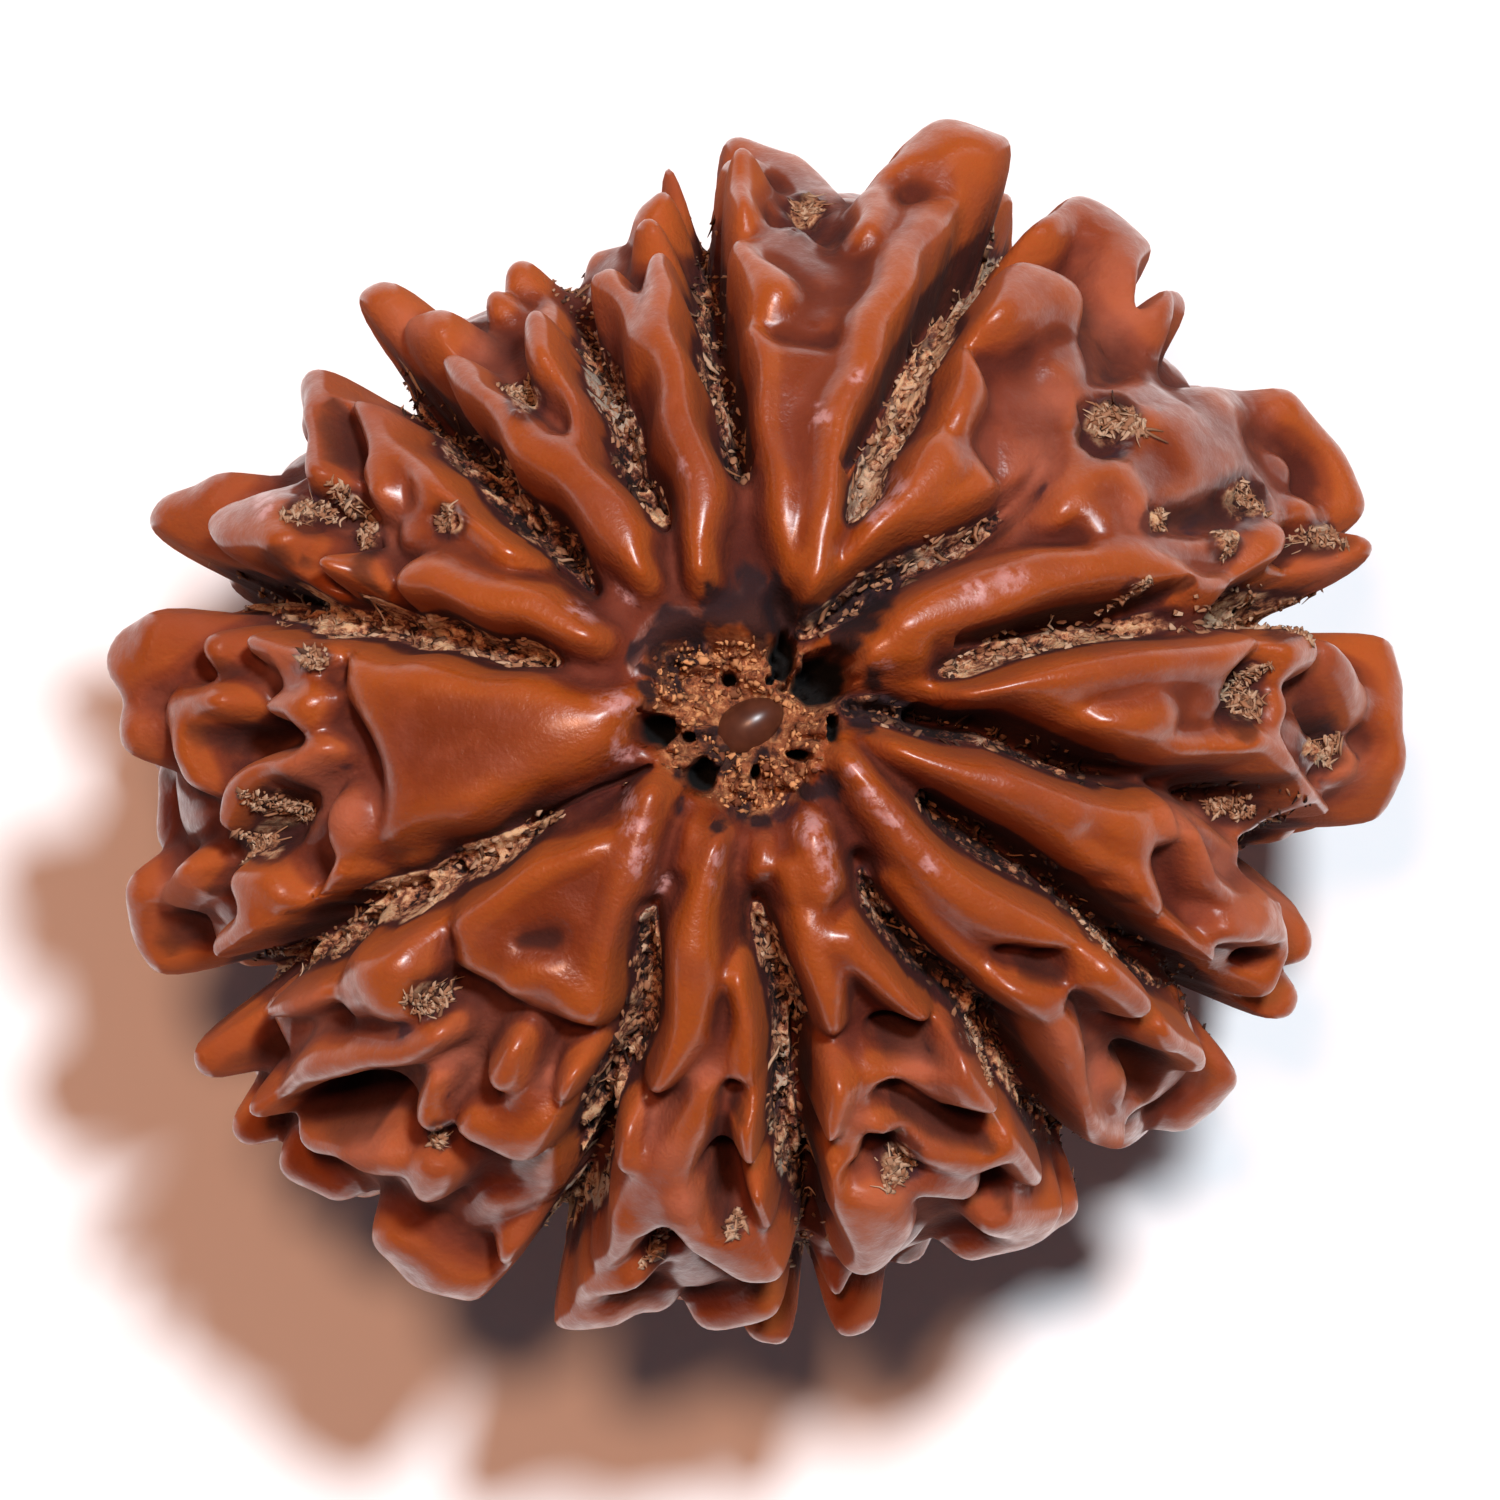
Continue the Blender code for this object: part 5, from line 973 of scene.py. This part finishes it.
def strand_mesh(name, middles, outs, sides, widths, thicks, tones):
    """Flat closed ribbons: middles is strands x stations x 3, and each station has four corners.

    The corners are middle +- side * width and middle +- out * thick, tapering at both ends.
    """
    strands, stations = middles.shape[:2]
    taper = np.sin(np.linspace(0.12, math.pi - 0.12, stations)) ** 0.5
    wide = sides * (widths[:, None] * taper)[:, :, None]
    thick = outs * (thicks[:, None] * taper)[:, :, None]
    rings = np.stack([middles + wide, middles + thick, middles - wide, middles - thick], axis=2)
    points = rings.reshape(-1, 3)
    strand, station, corner = np.meshgrid(np.arange(strands), np.arange(stations - 1),
                                          np.arange(4), indexing="ij")
    first = (strand * stations + station) * 4
    here = first + corner
    after = first + (corner + 1) % 4
    walls = np.stack([here, here + 4, after + 4, after], axis=-1).reshape(-1, 4)
    start = np.arange(strands)[:, None] * stations * 4
    end = start + (stations - 1) * 4
    caps = np.concatenate([start + np.array([[0, 1, 2, 3]]), end + np.array([[3, 2, 1, 0]])])
    corners = np.concatenate([walls.ravel(), caps.ravel()])
    mesh = make_mesh(name, to_frame(points), corners, np.full(len(walls) + len(caps), 4))
    add_attribute(mesh, "tone", np.repeat(tones, stations * 4))
    piece = bpy.data.objects.new(name, mesh)
    bpy.context.scene.collection.objects.link(piece)
    return piece


def unit(vectors):
    """The same directions at length one."""
    return vectors / np.maximum(np.linalg.norm(vectors, axis=-1, keepdims=True), 1e-9)


def body_frame(points):
    """Places on the body nearest to the given points in direction, with the way out there."""
    angle = np.degrees(np.arctan2(points[..., 1], points[..., 0]))
    across = np.hypot(points[..., 0], points[..., 1]) / body_radius(angle)
    up = points[..., 2] / HALF_HEIGHT
    slope = np.arctan2(np.sign(up) * np.abs(up) ** (ROUNDNESS / 2),
                       np.abs(across) ** (ROUNDNESS / 2))
    return body_point(angle, slope)


def crumb_mesh(name, centres, axes, sizes, tones, draw):
    """Small lumpy closed crumbs: each point is centre + sum of axis * size * unit ball point.

    Every point of the ball is moved in or out a little at random, so that no two are alike.
    """
    unit_points, quads, tris = ball_rows(3, 6)
    count = len(centres)
    wobble = 1.0 + 0.35 * draw.normal(0.0, 1.0, (count, len(unit_points), 1))
    shaped = unit_points[None] * sizes[:, None] * np.clip(wobble, 0.5, 1.7)
    points = centres[:, None] + np.einsum("npk,nkc->npc", shaped, axes)
    start = np.arange(count)[:, None, None] * len(unit_points)
    all_quads = (quads[None] + start).reshape(-1, 4)
    all_tris = (tris[None] + start).reshape(-1, 3)
    corners = np.concatenate([all_quads.ravel(), all_tris.ravel()])
    counts = np.concatenate([np.full(len(all_quads), 4), np.full(len(all_tris), 3)])
    mesh = make_mesh(name, to_frame(points.reshape(-1, 3)), corners, counts)
    add_attribute(mesh, "tone", np.repeat(tones, len(unit_points)))
    piece = bpy.data.objects.new(name, mesh)
    bpy.context.scene.collection.objects.link(piece)
    return piece


def bark_crumbs(surface, seen, grid_places):
    """Flat flakes and crumbs of dried pulp that cover the floor of every groove and tuft."""
    draw = np.random.default_rng(24)
    centres, leads, tones = [], [], []
    for groove, paleness in zip(GROOVES, FIBRE_TONES):
        path, half_widths = groove_path(groove)
        path = np.array(path)
        runs = np.concatenate([[0.0], np.cumsum(np.linalg.norm(np.diff(path, axis=0), axis=1))])
        count = 230
        along = np.where(draw.random(count) < 0.88, draw.uniform(0.1, runs[len(groove) - 1], count),
                         draw.uniform(runs[len(groove) - 1], runs[-1] - 2.0, count))
        middle = np.stack([np.interp(along, runs, path[:, k]) for k in range(3)], axis=-1)
        ahead = np.stack([np.interp(along + 0.05, runs, path[:, k]) for k in range(3)], axis=-1)
        places, outs = body_frame(middle)
        lead = unit(ahead - middle + 1e-6)
        half = np.interp(along, runs, np.array(half_widths))
        offset = half * draw.uniform(-0.9, 0.9, count)
        centre = places + np.cross(outs, lead) * offset[:, None]
        keep = half > 0.2
        centres.append((centre - wandering(centre))[keep])
        leads.append(lead[keep])
        tones.append(np.clip(draw.normal(0.8 * paleness, 0.28, count), 0.0, 1.0)[keep])
    for x, y, radius in TUFTS:
        count = int(70 * radius / 0.4)
        turn = draw.uniform(0.0, 2.0 * math.pi, count)
        far = radius * np.sqrt(draw.random(count)) * 0.8
        place = under_surface(seen, grid_places, x, y)
        centres.append(np.stack([place[0] + far * np.cos(turn), place[1] + far * np.sin(turn),
                                 np.full(count, place[2])], axis=-1))
        leads.append(unit(draw.normal(0.0, 1.0, (count, 3))))
        tones.append(np.clip(draw.normal(0.8, 0.25, count), 0.0, 1.0))
    centres = np.concatenate(centres)
    leads = np.concatenate(leads)
    count = len(centres)
    places, outs = body_frame(centres)
    lift = read_grid(surface, places) + draw.uniform(-0.03, 0.03, count)
    turned = leads + np.cross(outs, leads) * draw.normal(0.0, 0.45, (count, 1))
    turned = unit(turned + outs * draw.normal(0.0, 0.25, (count, 1)))
    side = unit(np.cross(outs, turned))
    axes = np.stack([turned, side, np.cross(turned, side)], axis=1)
    sizes = np.stack([draw.uniform(0.05, 0.17, count), draw.uniform(0.03, 0.08, count),
                      draw.uniform(0.015, 0.04, count)], axis=-1)
    return crumb_mesh("bark_crumbs", places + outs * lift[:, None], axes, sizes,
                      np.concatenate(tones), draw)


def groove_fibres(surface):
    """Strands of dried pulp along every groove, lying close on the matted floor."""
    draw = np.random.default_rng(21)
    stations = 6
    middles, widths, tones = [], [], []
    for groove, paleness in zip(GROOVES, FIBRE_TONES):
        path, half_widths = groove_path(groove)
        path = np.array(path)
        runs = np.concatenate([[0.0], np.cumsum(np.linalg.norm(np.diff(path, axis=0), axis=1))])
        top_run = runs[len(groove) - 1]
        count = 60
        start = np.where(draw.random(count) < 0.85, draw.uniform(0.2, top_run, count),
                         draw.uniform(top_run, runs[-1] - 2.0, count))
        length = draw.uniform(0.1, 0.42, count)
        along = start[:, None] + length[:, None] * np.linspace(0.0, 1.0, stations)
        along = np.minimum(along, runs[-1])
        middle = np.stack([np.interp(along, runs, path[:, k]) for k in range(3)], axis=-1)
        ahead = np.stack([np.interp(along + 0.05, runs, path[:, k]) for k in range(3)], axis=-1)
        behind = np.stack([np.interp(along - 0.05, runs, path[:, k]) for k in range(3)], axis=-1)
        places, outs = body_frame(middle)
        side = unit(np.cross(outs, ahead - behind))
        half = np.interp(along, runs, np.array(half_widths))
        lean = draw.uniform(-0.85, 0.85, count)[:, None]
        sway = draw.normal(0.0, 0.1, (count, 1)) * np.linspace(-1.0, 1.0, stations)
        sway = sway + draw.normal(0.0, 0.03, (count, stations))
        wide_enough = half.min(axis=1) > 0.2
        middle = places + side * (half * lean + sway)[:, :, None]
        middle = middle - wandering(middle)
        middles.append(middle[wide_enough])
        widths.append(draw.uniform(0.015, 0.085, count)[wide_enough])
        tones.append(np.clip(draw.normal(0.8 * paleness, 0.3, count), 0.0, 1.0)[wide_enough])
    middles = np.concatenate(middles)
    widths = np.concatenate(widths)
    places, outs = body_frame(middles)
    height = read_grid(surface, places)
    lift = height * 0.4 + height.mean(axis=1, keepdims=True) * 0.6
    lift = lift + draw.uniform(-0.05, 0.02, (len(middles), 1))
    arc = draw.uniform(-0.04, 0.05, (len(middles), 1)) * np.sin(np.linspace(0, math.pi, stations))
    middles = places + outs * (lift + arc)[:, :, None]
    sides = unit(np.cross(outs, np.gradient(middles, axis=1)))
    return strand_mesh("groove_fibre", middles, outs, sides, widths, widths * 0.45,
                       np.concatenate(tones))


def pit_fibres(surface, seen, grid_places):
    """Short curled strands that lie every way in the pits."""
    draw = np.random.default_rng(22)
    stations = 6
    centres, radii = [], []
    for x, y, radius in TUFTS:
        count = int(15 * radius / 0.4)
        turn = draw.uniform(0, 2 * math.pi, count)
        far = radius * np.sqrt(draw.random(count)) * 0.8
        place = under_surface(seen, grid_places, x, y)
        centres.append(np.stack([place[0] + far * np.cos(turn), place[1] + far * np.sin(turn),
                                 np.full(count, place[2])], axis=-1))
        radii.append(np.full(count, radius))
    centres = np.concatenate(centres)
    radii = np.concatenate(radii)
    count = len(centres)
    places, outs = body_frame(centres)
    turn = draw.uniform(0.0, math.pi, count)
    level = np.stack([np.cos(turn), np.sin(turn), np.zeros(count)], axis=-1)
    ahead = unit(level - outs * np.sum(level * outs, axis=-1, keepdims=True))
    side = np.cross(outs, ahead)
    share = np.linspace(-1.0, 1.0, stations)
    length = radii * draw.uniform(0.2, 0.55, count)
    bend = draw.normal(0.0, 0.3, count) * radii
    middles = (places[:, None] + ahead[:, None] * (length[:, None] * share)[:, :, None]
               + side[:, None] * (bend[:, None] * share ** 2)[:, :, None])
    places, outs = body_frame(middles)
    height = read_grid(surface, places)
    lift = height.mean(axis=1, keepdims=True) + draw.uniform(-0.04, 0.06, (count, 1))
    lift = np.minimum(lift, height + 0.12)
    middles = places + outs * lift[:, :, None]
    sides = unit(np.cross(outs, np.gradient(middles, axis=1)))
    widths = draw.uniform(0.012, 0.05, count)
    return strand_mesh("pit_fibre", middles, outs, sides, widths, widths * 0.6,
                       np.clip(draw.normal(0.7, 0.25, count), 0.0, 1.0))


def ball_rows(rows, around):
    """A closed unit ball of rings: its points and faces."""
    slopes = np.linspace(-math.pi / 2, math.pi / 2, rows + 2)[1:-1]
    angles = np.arange(around) * 2 * math.pi / around
    slope, angle = np.meshgrid(slopes, angles, indexing="ij")
    points = np.stack([np.cos(slope) * np.cos(angle), np.cos(slope) * np.sin(angle),
                       np.sin(slope)], axis=-1).reshape(-1, 3)
    points = np.concatenate([points, [[0, 0, -1.0], [0, 0, 1.0]]])
    row, step = np.meshgrid(np.arange(rows - 1), np.arange(around), indexing="ij")
    here = row * around + step
    beside = row * around + (step + 1) % around
    quads = np.stack([here, beside, beside + around, here + around], axis=-1).reshape(-1, 4)
    steps = np.arange(around)
    after = (steps + 1) % around
    last = (rows - 1) * around
    low = np.stack([after, steps, np.full(around, rows * around)], axis=-1)
    high = np.stack([last + steps, last + after, np.full(around, rows * around + 1)], axis=-1)
    return points, quads, np.concatenate([low, high])


def pith_crumbs(surface):
    """Small lumpy crumbs of pith strewn over the hollow, clear of the black holes."""
    draw = np.random.default_rng(23)
    x = draw.uniform(-2.3, 2.0, 1700)
    y = draw.uniform(-2.0, 2.0, 1700)
    keep = inside_depth(x, y, HOLLOW) > 0.05 + 0.3 * draw.random(1700)
    for hx, hy, wide, tall in HOLES:
        keep &= np.hypot((x - hx) / (wide + 0.12), (y - hy) / (tall + 0.12)) > 1.0
    keep &= np.hypot((x + 0.2) / 0.85, (y - 0.1) / 0.65) > 1.0
    x, y = x[keep], y[keep]
    count = len(x)
    places, outs = body_frame(np.stack([x, y, np.full(count, HALF_HEIGHT)], axis=-1))
    height = read_grid(surface, places) + draw.uniform(-0.03, 0.03, count)
    centres = places + outs * height[:, None]
    size = draw.uniform(0.015, 0.065, (count, 1)) * draw.uniform(0.5, 1.8, (count, 3))
    axes = np.tile(np.eye(3), (count, 1, 1))
    return crumb_mesh("pith_crumbs", centres, axes, size, draw.random(count), draw)


def dark_seeds(surface):
    """The smooth dark oval lump in the middle of the pith."""
    unit_points, quads, tris = ball_rows(22, 32)
    points, corners, sizes = [], [], []
    lumps = [(-0.2, 0.1, 0.74, 0.5, 0.42, 32.0, 0.0)]
    for number, (x, y, long, wide, thick, turn, rise) in enumerate(lumps):
        place, out = body_frame(np.array([x, y, HALF_HEIGHT]))
        level = read_grid(surface, place[None])[0] + rise
        turn = math.radians(turn)
        shaped = unit_points * np.array([long, wide, thick])
        shaped[:, 1] *= 1.0 - 0.12 * unit_points[:, 0]
        spun = np.stack([shaped[:, 0] * math.cos(turn) - shaped[:, 1] * math.sin(turn),
                         shaped[:, 0] * math.sin(turn) + shaped[:, 1] * math.cos(turn),
                         shaped[:, 2]], axis=-1)
        start = number * len(unit_points)
        points.append(spun + place + out * level)
        corners += [(quads + start).ravel(), (tris + start).ravel()]
        sizes += [np.full(len(quads), 4), np.full(len(tris), 3)]
    mesh = make_mesh("dark_lump", to_frame(np.concatenate(points)), np.concatenate(corners),
                     np.concatenate(sizes))
    piece = bpy.data.objects.new("dark_lump", mesh)
    bpy.context.scene.collection.objects.link(piece)
    return piece


class Builder:
    """Short ways to add and join the nodes of one tree."""

    def __init__(self, tree):
        self.tree = tree

    def add(self, kind, **settings):
        node = self.tree.nodes.new(kind)
        for name, value in settings.items():
            setattr(node, name, value)
        return node

    def join(self, source, target):
        self.tree.links.new(source, target)

    def attribute(self, name):
        return self.add("ShaderNodeAttribute", attribute_name=name).outputs["Fac"]

    def noise(self, coords, scale, detail=3.0, rough=0.55):
        node = self.add("ShaderNodeTexNoise")
        node.inputs["Scale"].default_value = scale
        node.inputs["Detail"].default_value = detail
        node.inputs["Roughness"].default_value = rough
        self.join(coords, node.inputs["Vector"])
        return node.outputs["Fac"]

    def span(self, value, low, high, to_low=0.0, to_high=1.0):
        node = self.add("ShaderNodeMapRange", interpolation_type="SMOOTHSTEP")
        node.inputs["From Min"].default_value = low
        node.inputs["From Max"].default_value = high
        node.inputs["To Min"].default_value = to_low
        node.inputs["To Max"].default_value = to_high
        self.join(value, node.inputs["Value"])
        return node.outputs["Result"]

    def math(self, operation, first, second):
        node = self.add("ShaderNodeMath", operation=operation)
        for socket, value in zip(node.inputs, (first, second)):
            if isinstance(value, (int, float)):
                socket.default_value = value
            else:
                self.join(value, socket)
        return node.outputs[0]

    def mix(self, share, first, second, blend="MIX"):
        node = self.add("ShaderNodeMix", data_type="RGBA", blend_type=blend)
        for socket, value in zip((node.inputs[0], node.inputs[6], node.inputs[7]),
                                 (share, first, second)):
            if isinstance(value, (int, float)):
                socket.default_value = value
            elif isinstance(value, tuple):
                socket.default_value = (*value, 1.0)
            else:
                self.join(value, socket)
        return node.outputs[2]


def linear(red, green, blue):
    """A colour given as it shows on a screen, 0 to 255, as light."""
    return tuple((c / 255.0 / 12.92) if c < 10.3 else ((c / 255.0 + 0.055) / 1.055) ** 2.4
                 for c in (red, green, blue))


def new_material(name):
    """A material with its shader and the helper for its tree."""
    material = bpy.data.materials.new(name)
    material.use_nodes = True
    build = Builder(material.node_tree)
    return material, build, material.node_tree.nodes["Principled BSDF"]


def stone_material():
    """Waxy brown skin, orange on the crests as painted light, darker in valleys, creases, pits and
    round the hollow as painted shade, with painted violet highlights, dull pink in patches and
    fibre.
    """
    material, build, shader = new_material("waxy_stone")
    coords = build.add("ShaderNodeTexCoord").outputs["Object"]
    slow = build.noise(coords, 260.0)
    mottle = build.noise(coords, 1300.0, 4.0)
    fine = build.noise(coords, 9000.0, 3.0)
    relief = build.attribute("relief")
    crest = build.attribute("crest")
    # The brown is darkened towards valleys and creases as painted shade, and lightened to orange on
    # the crests as painted light.
    colour = build.mix(build.span(relief, -0.7, 0.1), linear(56, 15, 6), linear(108, 42, 15))
    colour = build.mix(build.span(relief, 0.0, 0.6), colour, linear(134, 57, 16))
    colour = build.mix(build.span(crest, 0.0, 0.16, 0.0, 0.7), colour, linear(168, 82, 24))
    colour = build.mix(build.span(crest, 0.0, -0.16, 0.0, 0.75), colour, linear(62, 17, 9))
    colour = build.mix(build.span(slow, 0.4, 0.7, 0.0, 0.45), colour, linear(112, 40, 18))
    colour = build.mix(build.span(mottle, 0.5, 0.8, 0.0, 0.3), colour, linear(160, 76, 36))
    # Pinkish patches at random: partly a change of the skin's tone, partly a painted pale
    # reflection.
    bloom_and_reflection = build.noise(coords, 520.0, 4.0)
    colour = build.mix(build.span(bloom_and_reflection, 0.45, 0.75, 0.0, 0.35), colour, linear(146, 78, 56))
    pale = build.math("MULTIPLY", build.attribute("pale"), build.span(mottle, 0.25, 0.6, 0.5, 1.0))
    colour = build.mix(build.math("MULTIPLY", pale, 0.6), colour, linear(178, 102, 76))
    # Painted highlight: pale violet-white patches where light glints on the ridges near the hollow,
    # broken up by noise.
    highlight_breakup = build.noise(coords, 3200.0, 4.0, 0.6)
    painted_highlight = build.math("MULTIPLY", build.attribute("painted_highlight"), build.span(highlight_breakup, 0.38, 0.6, 0.25, 1.0))
    colour = build.mix(build.span(painted_highlight, 0.1, 0.8, 0.0, 0.75), colour, linear(200, 150, 146))
    pith = build.attribute("pith")
    grit = build.noise(coords, 3600.0, 5.0, 0.7)
    pith_colour = build.mix(build.span(grit, 0.36, 0.5), linear(70, 34, 22), linear(142, 82, 50))
    pith_colour = build.mix(build.span(grit, 0.5, 0.66), pith_colour, linear(196, 138, 92))
    colour = build.mix(pith, colour, pith_colour)
    fibre = build.attribute("fibre")
    crumb = build.math("ADD", build.attribute("crumb"), build.attribute("streak"))
    fibre_noise = build.noise(coords, 5000.0, 5.0, 0.7)
    tone = build.math("ADD", crumb, build.span(fibre_noise, 0.35, 0.65, -0.5, 0.45))
    fibre_colour = build.mix(build.span(tone, -0.5, -0.12), linear(28, 12, 12), linear(104, 58, 42))
    fibre_colour = build.mix(build.span(tone, -0.1, 0.3), fibre_colour, linear(176, 122, 88))
    fibre_colour = build.mix(build.span(tone, 0.3, 0.7), fibre_colour, linear(206, 166, 128))
    grey = build.math("MULTIPLY", build.span(slow, 0.5, 0.65), build.span(tone, 0.0, 0.4))
    fibre_colour = build.mix(grey, fibre_colour, linear(166, 152, 136))
    edge = build.span(build.math("ADD", fibre, build.math("MULTIPLY", crumb, 0.25)), 0.4, 0.7)
    # Painted shade: a dark band on the groove walls where the skin meets the fibre.
    groove_wall_shade = build.math("MULTIPLY", build.span(fibre, 0.02, 0.3), 0.75)
    colour = build.mix(groove_wall_shade, colour, linear(54, 18, 18))
    colour = build.mix(edge, colour, fibre_colour)
    # Painted shade: violet-black in the listed spots, only where the surface lies below its crests.
    ragged = build.math("MULTIPLY", build.span(mottle, 0.35, 0.6), build.span(crest, 0.08, -0.04))
    crease_shade = build.math("MULTIPLY", build.attribute("crease_shade"), ragged)
    colour = build.mix(build.span(crease_shade, 0.2, 0.7, 0.0, 0.8), colour, linear(46, 22, 32))
    # Painted shade: near-black on the rim and walls of the hollow.
    hollow_shade = build.math("MULTIPLY", build.attribute("hollow_shade"), build.span(mottle, 0.25, 0.5, 0.6, 1.0))
    colour = build.mix(build.span(hollow_shade, 0.2, 0.7, 0.0, 0.92), colour, linear(30, 15, 20))
    # Painted shade: dark colour in the pits and in the cracks beside the fibre.
    dark = build.span(build.attribute("pit"), 0.5, 1.0, 0.0, 0.7)
    colour = build.mix(dark, colour, linear(46, 15, 8))
    # Painted shade: near-black inside the pith's holes and in its pores.
    black = build.span(build.attribute("black"), 0.2, 0.8)
    colour = build.mix(black, colour, linear(4, 2, 2))
    build.join(colour, shader.inputs["Base Color"])
    valley = build.math("MAXIMUM", build.span(crest, 0.02, -0.08, 0.0, 0.75),
                        build.span(relief, -0.05, -0.4, 0.0, 0.75))
    valley = build.math("MAXIMUM", valley, build.span(build.attribute("steep"), 1.0, 2.5, 0.0, 0.7))
    dull = build.math("MAXIMUM", build.math("MAXIMUM", pith, edge), pale)
    dull = build.math("MAXIMUM", dull, build.math("MAXIMUM", valley, dark))
    dull = build.math("MAXIMUM", dull, build.math("MAXIMUM", black, hollow_shade))
    speck = build.noise(coords, 2600.0, 3.0)
    waxy = build.span(speck, 0.35, 0.65, 0.3, 0.46)
    build.join(build.math("MAXIMUM", waxy, build.span(dull, 0.0, 0.8, 0.2, 0.9)),
               shader.inputs["Roughness"])
    gloss = build.math("MULTIPLY", build.span(dull, 0.05, 0.6, 1.0, 0.0),
                       build.span(speck, 0.3, 0.7, 1.0, 0.55))
    build.join(gloss, shader.inputs["Coat Weight"])
    shader.inputs["Coat Roughness"].default_value = 0.3
    shader.inputs["Coat IOR"].default_value = 1.45
    shader.inputs["Specular IOR Level"].default_value = 0.3
    shader.inputs["Subsurface Weight"].default_value = 0.2
    shader.inputs["Subsurface Radius"].default_value = (1.0, 0.4, 0.2)
    shader.inputs["Subsurface Scale"].default_value = 0.0006
    bump = build.add("ShaderNodeBump")
    bump.inputs["Strength"].default_value = 0.5
    bump.inputs["Distance"].default_value = 0.00005
    rough = build.math("MULTIPLY", build.math("MAXIMUM", edge, pith), fibre_noise)
    skin = build.math("ADD", fine, build.math("MULTIPLY", mottle, 2.0))
    build.join(build.math("ADD", skin, build.math("MULTIPLY", rough, 5.0)), bump.inputs["Height"])
    build.join(bump.outputs["Normal"], shader.inputs["Normal"])
    return material


def fibre_material():
    """Dry straw and grey-tan strands, some dark."""
    material, build, shader = new_material("dry_fibre")
    coords = build.add("ShaderNodeTexCoord").outputs["Object"]
    tone = build.attribute("tone")
    speck = build.noise(coords, 5000.0)
    colour = build.mix(build.span(tone, 0.15, 0.6), linear(44, 24, 18), linear(146, 104, 76))
    colour = build.mix(build.span(tone, 0.7, 1.0), colour, linear(178, 150, 124))
    colour = build.mix(build.span(speck, 0.5, 0.8, 0.0, 0.5), colour, linear(150, 96, 60))
    build.join(colour, shader.inputs["Base Color"])
    shader.inputs["Roughness"].default_value = 0.75
    shader.inputs["Specular IOR Level"].default_value = 0.25
    return material


def pith_material():
    """Crumbly orange-brown pith."""
    material, build, shader = new_material("dry_pith")
    tone = build.attribute("tone")
    colour = build.mix(build.span(tone, 0.0, 1.0), linear(104, 58, 36), linear(204, 146, 98))
    build.join(colour, shader.inputs["Base Color"])
    shader.inputs["Roughness"].default_value = 0.8
    shader.inputs["Specular IOR Level"].default_value = 0.2
    return material


def lump_material():
    """The dark smooth lump, a little shiny."""
    material, build, shader = new_material("dark_skin")
    coords = build.add("ShaderNodeTexCoord").outputs["Object"]
    speck = build.noise(coords, 2500.0)
    colour = build.mix(speck, linear(52, 25, 17), linear(96, 54, 37))
    build.join(colour, shader.inputs["Base Color"])
    shader.inputs["Roughness"].default_value = 0.3
    shader.inputs["Specular IOR Level"].default_value = 0.35
    return material


def floor_material():
    """Plain pale paper."""
    material, build, shader = new_material("pale_paper")
    shader.inputs["Base Color"].default_value = (0.9, 0.9, 0.9, 1.0)
    shader.inputs["Roughness"].default_value = 0.8
    shader.inputs["Specular IOR Level"].default_value = 0.1
    return material


def add_sun(name, towards_x, towards_y, rise, strength, colour, spread):
    """A soft far light from that direction."""
    lamp = bpy.data.lights.new(name, "SUN")
    lamp.energy = strength
    lamp.color = colour
    lamp.angle = math.radians(spread)
    holder = bpy.data.objects.new(name, lamp)
    turn = math.atan2(towards_y, towards_x)
    lean = math.radians(90.0 - rise)
    holder.rotation_euler = (0.0, lean, turn)
    bpy.context.scene.collection.objects.link(holder)


def stage_and_camera():
    """The pale floor, the lights and the camera straight above."""
    scene = bpy.context.scene
    floor_mesh = bpy.data.meshes.new("floor")
    half = 1.2
    floor_mesh.from_pydata([(-half, -half, 0), (half, -half, 0), (half, half, 0),
                            (-half, half, 0)], [], [(0, 1, 2, 3)])
    floor = bpy.data.objects.new("floor", floor_mesh)
    floor_mesh.materials.append(floor_material())
    scene.collection.objects.link(floor)
    add_sun("cool_light", 0.5, 0.86, 70.0, 3.5, (0.86, 0.93, 1.0), 7.0)
    add_sun("warm_light", -0.45, 0.8, 80.0, 1.5, (1.0, 0.47, 0.27), 8.0)
    world = bpy.data.worlds.new("soft_room")
    scene.world = world
    world.use_nodes = True
    sky = world.node_tree.nodes["Background"]
    sky.inputs["Color"].default_value = (0.85, 0.85, 1.0, 1.0)
    sky.inputs["Strength"].default_value = 0.06
    lens = bpy.data.cameras.new("camera")
    lens.sensor_width = 36.0
    lens.lens = 960.0
    lens.clip_start = 0.05
    lens.clip_end = 10.0
    camera = bpy.data.objects.new("camera", lens)
    camera.location = ((-0.2 - CENTRE_X) * MM, (-0.4 - CENTRE_Y) * MM, 0.811)
    scene.collection.objects.link(camera)
    scene.camera = camera
    scene.view_settings.view_transform = "Standard"
    scene.view_settings.look = "None"


def main():
    """Makes every piece, gives it its material and ties it to the frame."""
    stage_and_camera()
    angle, slope, corners, sizes = bead_grid()
    places, outs = body_point(angle, slope)
    base = base_height(places, outs)
    seen = places + outs * base[:, None]
    bead, surface = bead_piece(angle, slope, corners, sizes, places, outs, base)
    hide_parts("bead")
    pieces = [(bead, stone_material())]
    fibre = fibre_material()
    pieces.append((groove_fibres(surface), fibre))
    pieces.append((pit_fibres(surface, seen, places), fibre))
    pieces.append((bark_crumbs(surface, seen, places), fibre))
    pieces.append((pith_crumbs(surface), pith_material()))
    pieces.append((dark_seeds(surface), lump_material()))
    for piece, material in pieces:
        piece.data.materials.clear()
        piece.data.materials.append(material)
        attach(piece, "root")
        print(piece.name, sum(len(f.vertices) - 2 for f in piece.data.polygons), "triangles")


main()
